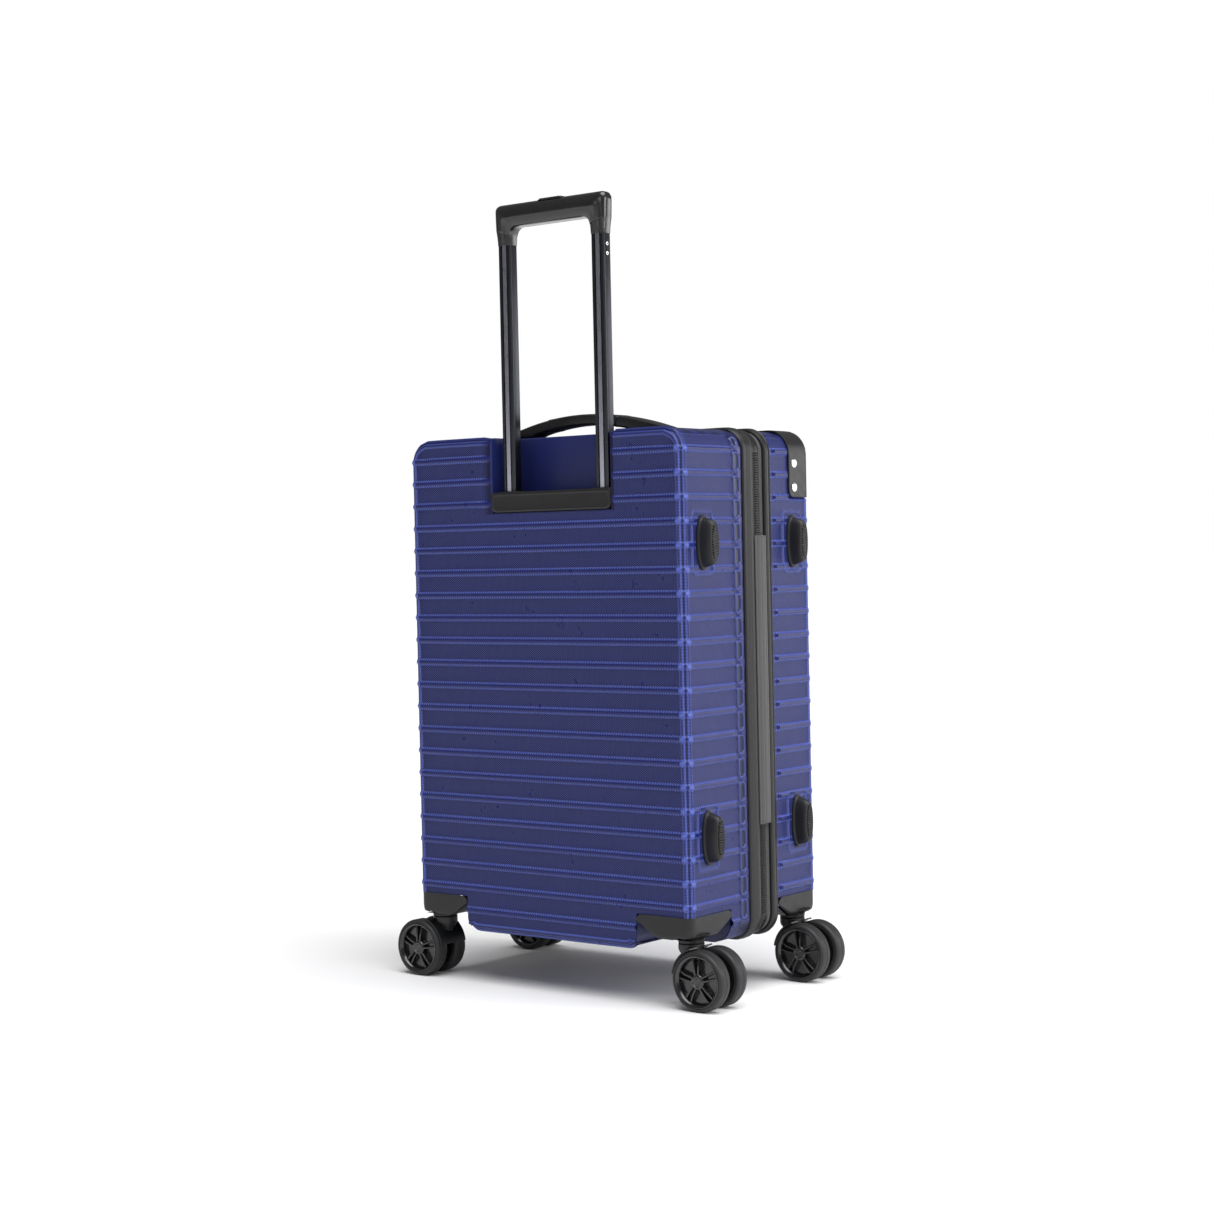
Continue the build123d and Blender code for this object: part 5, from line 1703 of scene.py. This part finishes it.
def zip_pulls():
    for which in ("lower", "upper"):
        low, high = box_mm(f"zip_slider_{which}")
        middle = (low + high) / 2
        z = middle.z
        bm = bmesh.new()
        plate = [(-6, -5.2), (-4.6, -6), (4.6, -6), (6, -5.2), (5.2, 4.4), (3.4, 6),
                 (-3.4, 6), (-5.2, 4.4)]
        for x, thick in ((SIDE + 0.9, 1.8), (SIDE - 4.5, 1.2)):
            add_prism(bm, plate, lambda u, v, w, x=x: (x + w, ZIP_Y + u, z + v), thick)
        add_box(bm, (SIDE - 4.0, ZIP_Y - 0.3, z - 5.5), (SIDE + 1.2, ZIP_Y + 0.3, z + 5.5))
        for side in (-1, 1):
            lug = [(SIDE + 2.4, -1.6), (SIDE + 5.6, -1.6), (SIDE + 6.2, 0), (SIDE + 5.6, 1.6),
                   (SIDE + 2.4, 1.6)]
            add_prism(bm, lug, lambda u, v, w, s=side: (u, ZIP_Y + v, z + s * 3.9 - 0.65 + w),
                      1.3)
        bevel_sharp(bm, 0.35, 2, 40)
        add_lathe(bm, [(-4.3, 0.95), (4.3, 0.95)], (SIDE + 4.8, ZIP_Y, z), (0, 0, 1), 16)
        finish_piece(from_bmesh(f"slider_body_{which}", bm, ["steel"]), f"slider_{which}",
                     [f"zip_slider_{which}"], 35.0)
        low, high = box_mm(f"zip_pull_{which}")
        bm = bmesh.new()
        length = high.y - ZIP_Y
        tab = [(-0.4, -1.6), (2.5, -1.7), (6.0, -2.8), (length - 4, -2.8),
               (length - 1.5, -2.2), (length, -0.9), (length, 0.9), (length - 1.5, 2.2),
               (length - 4, 2.8), (6.0, 2.8), (2.5, 1.7), (-0.4, 1.6)]
        add_prism(bm, tab, lambda u, v, w: (SIDE + 4.0 + w, ZIP_Y + u, z + v), 1.6)
        bevel_sharp(bm, 0.4, 2, 40)
        add_lathe(bm, [(-2.7, 1.75), (2.7, 1.75)], (SIDE + 4.8, ZIP_Y, z), (0, 0, 1), 20)
        for k in range(5):
            y = ZIP_Y + 12 + k * 3.2
            add_bar(bm, (SIDE + 5.4, y - 0.5, z - 2.0), (SIDE + 5.85, y + 0.5, z + 2.0), 0.18)
        finish_piece(from_bmesh(f"pull_tab_{which}", bm, ["steel"]), f"pull_{which}",
                     [f"zip_pull_{which}"], 35.0)


lock()
zip_pulls()


# ---------------------------------------------------------------- linings, straps, divider
def ripple(x, z, seed):
    """Soft irregular folds, about a millimetre high."""
    rng = np.random.default_rng(seed)
    total = np.zeros_like(x)
    for _ in range(9):
        angle, wave = rng.uniform(0, math.pi), rng.uniform(45, 150)
        phase = rng.uniform(0, 2 * math.pi)
        total += np.sin((x * math.cos(angle) + z * math.sin(angle)) / wave * 2 * math.pi
                        + phase)
    return total * 0.16


def lining(name, facing, rim, body, node, seed):
    """Cloth that follows the inside of a shell and covers whatever stands in it."""
    depth_size = FACE - facing * rim - 0.6
    us = spaced(list(np.linspace(-SIDE, SIDE, 90)), 0.4)
    vs = spaced(list(np.linspace(-HALF_HEIGHT, HALF_HEIGHT, 120)), 0.4)
    ds = spaced(list(np.linspace(0, depth_size, 26)), 0.4)
    parts = []

    def rise(u, z):
        """How far the floor stands off the shell's panel."""
        wells = soft_window(np.abs(u), SIDE - WELL_LENGTH - 3.5, 999, 4.0) \
            * soft_window(z, -99, WELL_TOP + 3.5, 4.0) * (WELL_DEPTH + 1)
        if facing < 0:
            return np.minimum(wells, depth_size - 3)
        half = TUBE_SPACING / 2 + 15.0
        tubes = soft_window(u, TROLLEY_X - half, TROLLEY_X + half, 4.0) * 23.0
        recess = soft_window(u, RECESS_LEFT - 4, RECESS_RIGHT + 4, 4.0) \
            * soft_window(z, RECESS_FLOOR - 4, 999, 4.0) * 44.0
        return np.minimum(np.maximum(np.maximum(wells, tubes), recess), depth_size - 3)

    u, v = np.meshgrid(us, vs)
    floor = skin_point(u, v, None, facing, -3.9)
    floor[..., 1] -= facing * (rise(u, v + MIDDLE) + 0.8
                               + ripple(u, v, seed) * soft_window(
                                   np.maximum(np.abs(u) - SIDE, np.abs(v) - HALF_HEIGHT),
                                   -9999, -22, 8))
    parts.append((floor.reshape(-1, 3), grid_faces(u.shape, 0)))
    for sign in (-1, 1):
        d, v = np.meshgrid(ds, vs)
        wall = skin_point(np.full_like(d, sign * SIDE), v, d, facing,
                          -3.9 - 0.5 * np.abs(ripple(d * 2, v, seed + 1)))
        cells = grid_faces(d.shape, 0)
        drop = ((d[:-1, :-1] < WELL_DEPTH + 1) & (v[:-1, :-1] + MIDDLE < WELL_TOP + 1))
        parts.append((wall.reshape(-1, 3), cells[~drop.reshape(-1)]))
        d, u = np.meshgrid(ds, us)
        wall = skin_point(u, np.full_like(d, sign * HALF_HEIGHT), d, facing,
                          -3.9 - 0.5 * np.abs(ripple(d * 2, u, seed + 2)))
        cells = grid_faces(d.shape, 0)
        if sign < 0:
            drop = (d[:-1, :-1] < WELL_DEPTH + 1) & (np.abs(u[:-1, :-1])
                                                     > SIDE - WELL_LENGTH - 1)
        else:
            drop = (d[:-1, :-1] < RECESS_DEPTH + 2) & (u[:-1, :-1] > RECESS_LEFT - 2) \
                & (u[:-1, :-1] < RECESS_RIGHT + 2) & (facing > 0)
        parts.append((wall.reshape(-1, 3), cells[~drop.reshape(-1)]))
    points, faces = joined(parts)
    obj = from_arrays(name, points, faces, ["lining_fabric"])
    weld(obj, 0.00005)
    finish_piece(obj, body, [node], 60.0)


def strap_set():
    low, high = box_mm("packing_straps")
    y = (low.y + high.y) / 2
    centre = Vector((0, y, MIDDLE))
    for number, (sx, sz) in enumerate(((-1, 1), (1, 1), (1, -1), (-1, -1)), start=1):
        start = Vector((sx * 120, y, MIDDLE + sz * (HALF_HEIGHT - 16)))
        direction = (centre - start)
        length = direction.length - 17
        unit = direction.normalized()
        across = unit.cross(Vector((0, 1, 0)))
        points = []
        for i in range(61):
            t = i / 60
            sag = 3.4 * math.sin(math.pi * t)
            for j in range(7):
                k = (j - 3) / 3
                p = start + unit * (length * t) + across * (12.5 * k) \
                    + Vector((0, sag + 0.25 * k * k, 0))
                points.append(tuple(p))
        faces = grid_faces((61, 7), 0)
        obj = from_arrays(f"packing_strap_{number}", points, faces, ["strap_web"])
        apply_modifier(obj, "SOLIDIFY", thickness=0.0011, offset=0.0)
        finish_piece(obj, "case_back",
                     ["packing_straps"] if number == 1 else (), 40.0)

    low, high = box_mm("strap_buckle")
    middle = (low + high) / 2
    half_x, half_z = (high.x - low.x) / 2, (high.z - low.z) / 2
    bm = bmesh.new()
    add_prism(bm, rounded_outline(half_x, half_z, 8.0, 8),
              lambda u, v, w: (middle.x + u, low.y + w, middle.z + v), high.y - low.y)
    bevel_sharp(bm, 1.4, 3, 50)
    add_prism(bm, rounded_outline(half_x - 11, half_z - 9, 4.0, 6),
              lambda u, v, w: (middle.x + u, low.y - 0.6 + w, middle.z + v), 2.0)
    for side in (-1, 1):
        for k in range(4):
            x = middle.x + side * (half_x - 3.2 - k * 1.7)
            add_bar(bm, (x - 0.5, low.y - 0.45, middle.z - 5),
                    (x + 0.5, low.y + 0.8, middle.z + 5), 0.2)
    finish_piece(from_bmesh("packing_buckle", bm, ["black_plastic"]), "case_back",
                 ["strap_buckle"], 40.0)


def divider():
    """Zipped mesh divider over the lid's half, bound round its edge."""
    low, high = box_mm("divider_panel")
    half_x, half_z = (high.x - low.x) / 2, (high.z - low.z) / 2
    y = (low.y + high.y) / 2
    us = np.linspace(-half_x, half_x, 60)
    vs = np.linspace(-half_z, half_z, 84)
    u, v = np.meshgrid(us, vs)
    pillow = (1 - (u / half_x) ** 2) * (1 - (v / half_z) ** 2)
    wrinkle = ripple(u, v, 17) * pillow
    for sign_u in (-1, 1):
        for sign_v in (-1, 1):
            u, v = round_corner(u, v, sign_u * half_x, sign_u, sign_v * half_z, sign_v, 20.0)
    points = np.stack([u, y + 0.9 * pillow + wrinkle * 0.7, v + (low.z + high.z) / 2], -1)
    obj = from_arrays("mesh_divider", points.reshape(-1, 3), grid_faces(u.shape, 0),
                      ["mesh_fabric"])
    apply_modifier(obj, "SOLIDIFY", thickness=0.0008, offset=0.0)
    finish_piece(obj, "case_lid", ["divider_panel"], 50.0)
    profile = [(-5.0 + 1.9 * math.cos(a), y + 1.9 * math.sin(a))
               for a in np.linspace(0, 2 * math.pi, 12, endpoint=False)]
    points, faces = swept_ring(profile, 10, 30.0)
    finish_piece(from_arrays("divider_binding", points, faces, ["strap_web"]), "case_lid",
                 (), 60.0)


lining("cloth_lining_back", 1, BACK_RIM, "case_back", "back_lining", 5)
lining("cloth_lining_lid", -1, LID_RIM, "case_lid", "front_lining", 11)
strap_set()
divider()


# ------------------------------------------------------- working parts kept from the CAD
for name, node in NODES.items():
    if node.data.materials and not node.get("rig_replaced"):
        key = node.data.materials[0].name.split(".")[0]
        if key in MATERIALS:
            node.data.materials[0] = MATERIALS[key]


# ---------------------------------------------------------------- studio
def studio():
    mesh = bpy.data.meshes.new("floor")
    mesh.from_pydata([(-14, -14, 0), (14, -14, 0), (14, 14, 0), (-14, 14, 0)], [],
                     [(0, 1, 2, 3)])
    floor = bpy.data.objects.new("floor", mesh)
    bpy.context.scene.collection.objects.link(floor)
    material, nodes, links, shader = new_material("pale_floor", (0.86, 0.86, 0.865), 0.6)
    cloud = noise(nodes, links, position(nodes), 2.0)
    links.new(tint(nodes, links, cloud, (0.85, 0.85, 0.855), (0.87, 0.87, 0.875)),
              shader.inputs["Base Color"])
    mesh.materials.append(material)

    world = bpy.context.scene.world or bpy.data.worlds.new("studio")
    bpy.context.scene.world = world
    world.use_nodes = True
    background = world.node_tree.nodes["Background"]
    background.inputs["Color"].default_value = (1, 1, 1, 1)
    ray = world.node_tree.nodes.new("ShaderNodeLightPath")
    level = world.node_tree.nodes.new("ShaderNodeMapRange")
    level.inputs["To Min"].default_value = 0.2
    level.inputs["To Max"].default_value = 1.0
    world.node_tree.links.new(ray.outputs["Is Camera Ray"], level.inputs["Value"])
    world.node_tree.links.new(level.outputs["Result"], background.inputs["Strength"])

    sun = bpy.data.lights.new("sun", "SUN")
    sun.energy, sun.angle = 4.1, math.radians(60)
    lamp = bpy.data.objects.new("sun", sun)
    bpy.context.scene.collection.objects.link(lamp)
    lamp.rotation_euler = Vector((-0.34, 0.16, 0.93)).to_track_quat("Z", "Y").to_euler()

    for name, where, aim, size, power in (
            ("key", (-2.6, -0.5, 1.1), (0, 0, 0.35), 1.3, 30),
            ("sheen", (-2.0, -2.9, 0.9), (-0.17, -0.05, 0.4), 1.3, 20),
            ("fill", (-0.3, 3.4, 1.7), (0, 0, 0.35), 1.0, 7)):
        light = bpy.data.lights.new(name, "AREA")
        light.size = size
        light.energy = power
        lamp = bpy.data.objects.new(name, light)
        bpy.context.scene.collection.objects.link(lamp)
        lamp.location = where
        lamp.rotation_euler = (Vector(aim) - Vector(where)).to_track_quat("-Z", "Y") \
            .to_euler()

    camera = bpy.data.cameras.new("camera")
    camera.lens, camera.sensor_width = 66.0, 36.0
    view = bpy.data.objects.new("camera", camera)
    bpy.context.scene.collection.objects.link(view)
    right = Vector((-0.78825516, -0.61498028, -0.02128523))
    up = Vector((-0.00195971, -0.03208149, 0.99948334))
    back = Vector((-0.6153454, 0.78788961, 0.02408322))
    turn = Matrix((right, up, back)).transposed().to_4x4()
    view.matrix_world = Matrix.Translation((-1.3974, 1.7946, 0.4332)) @ turn
    bpy.context.scene.camera = view
    bpy.context.scene.view_settings.view_transform = "Standard"


studio()
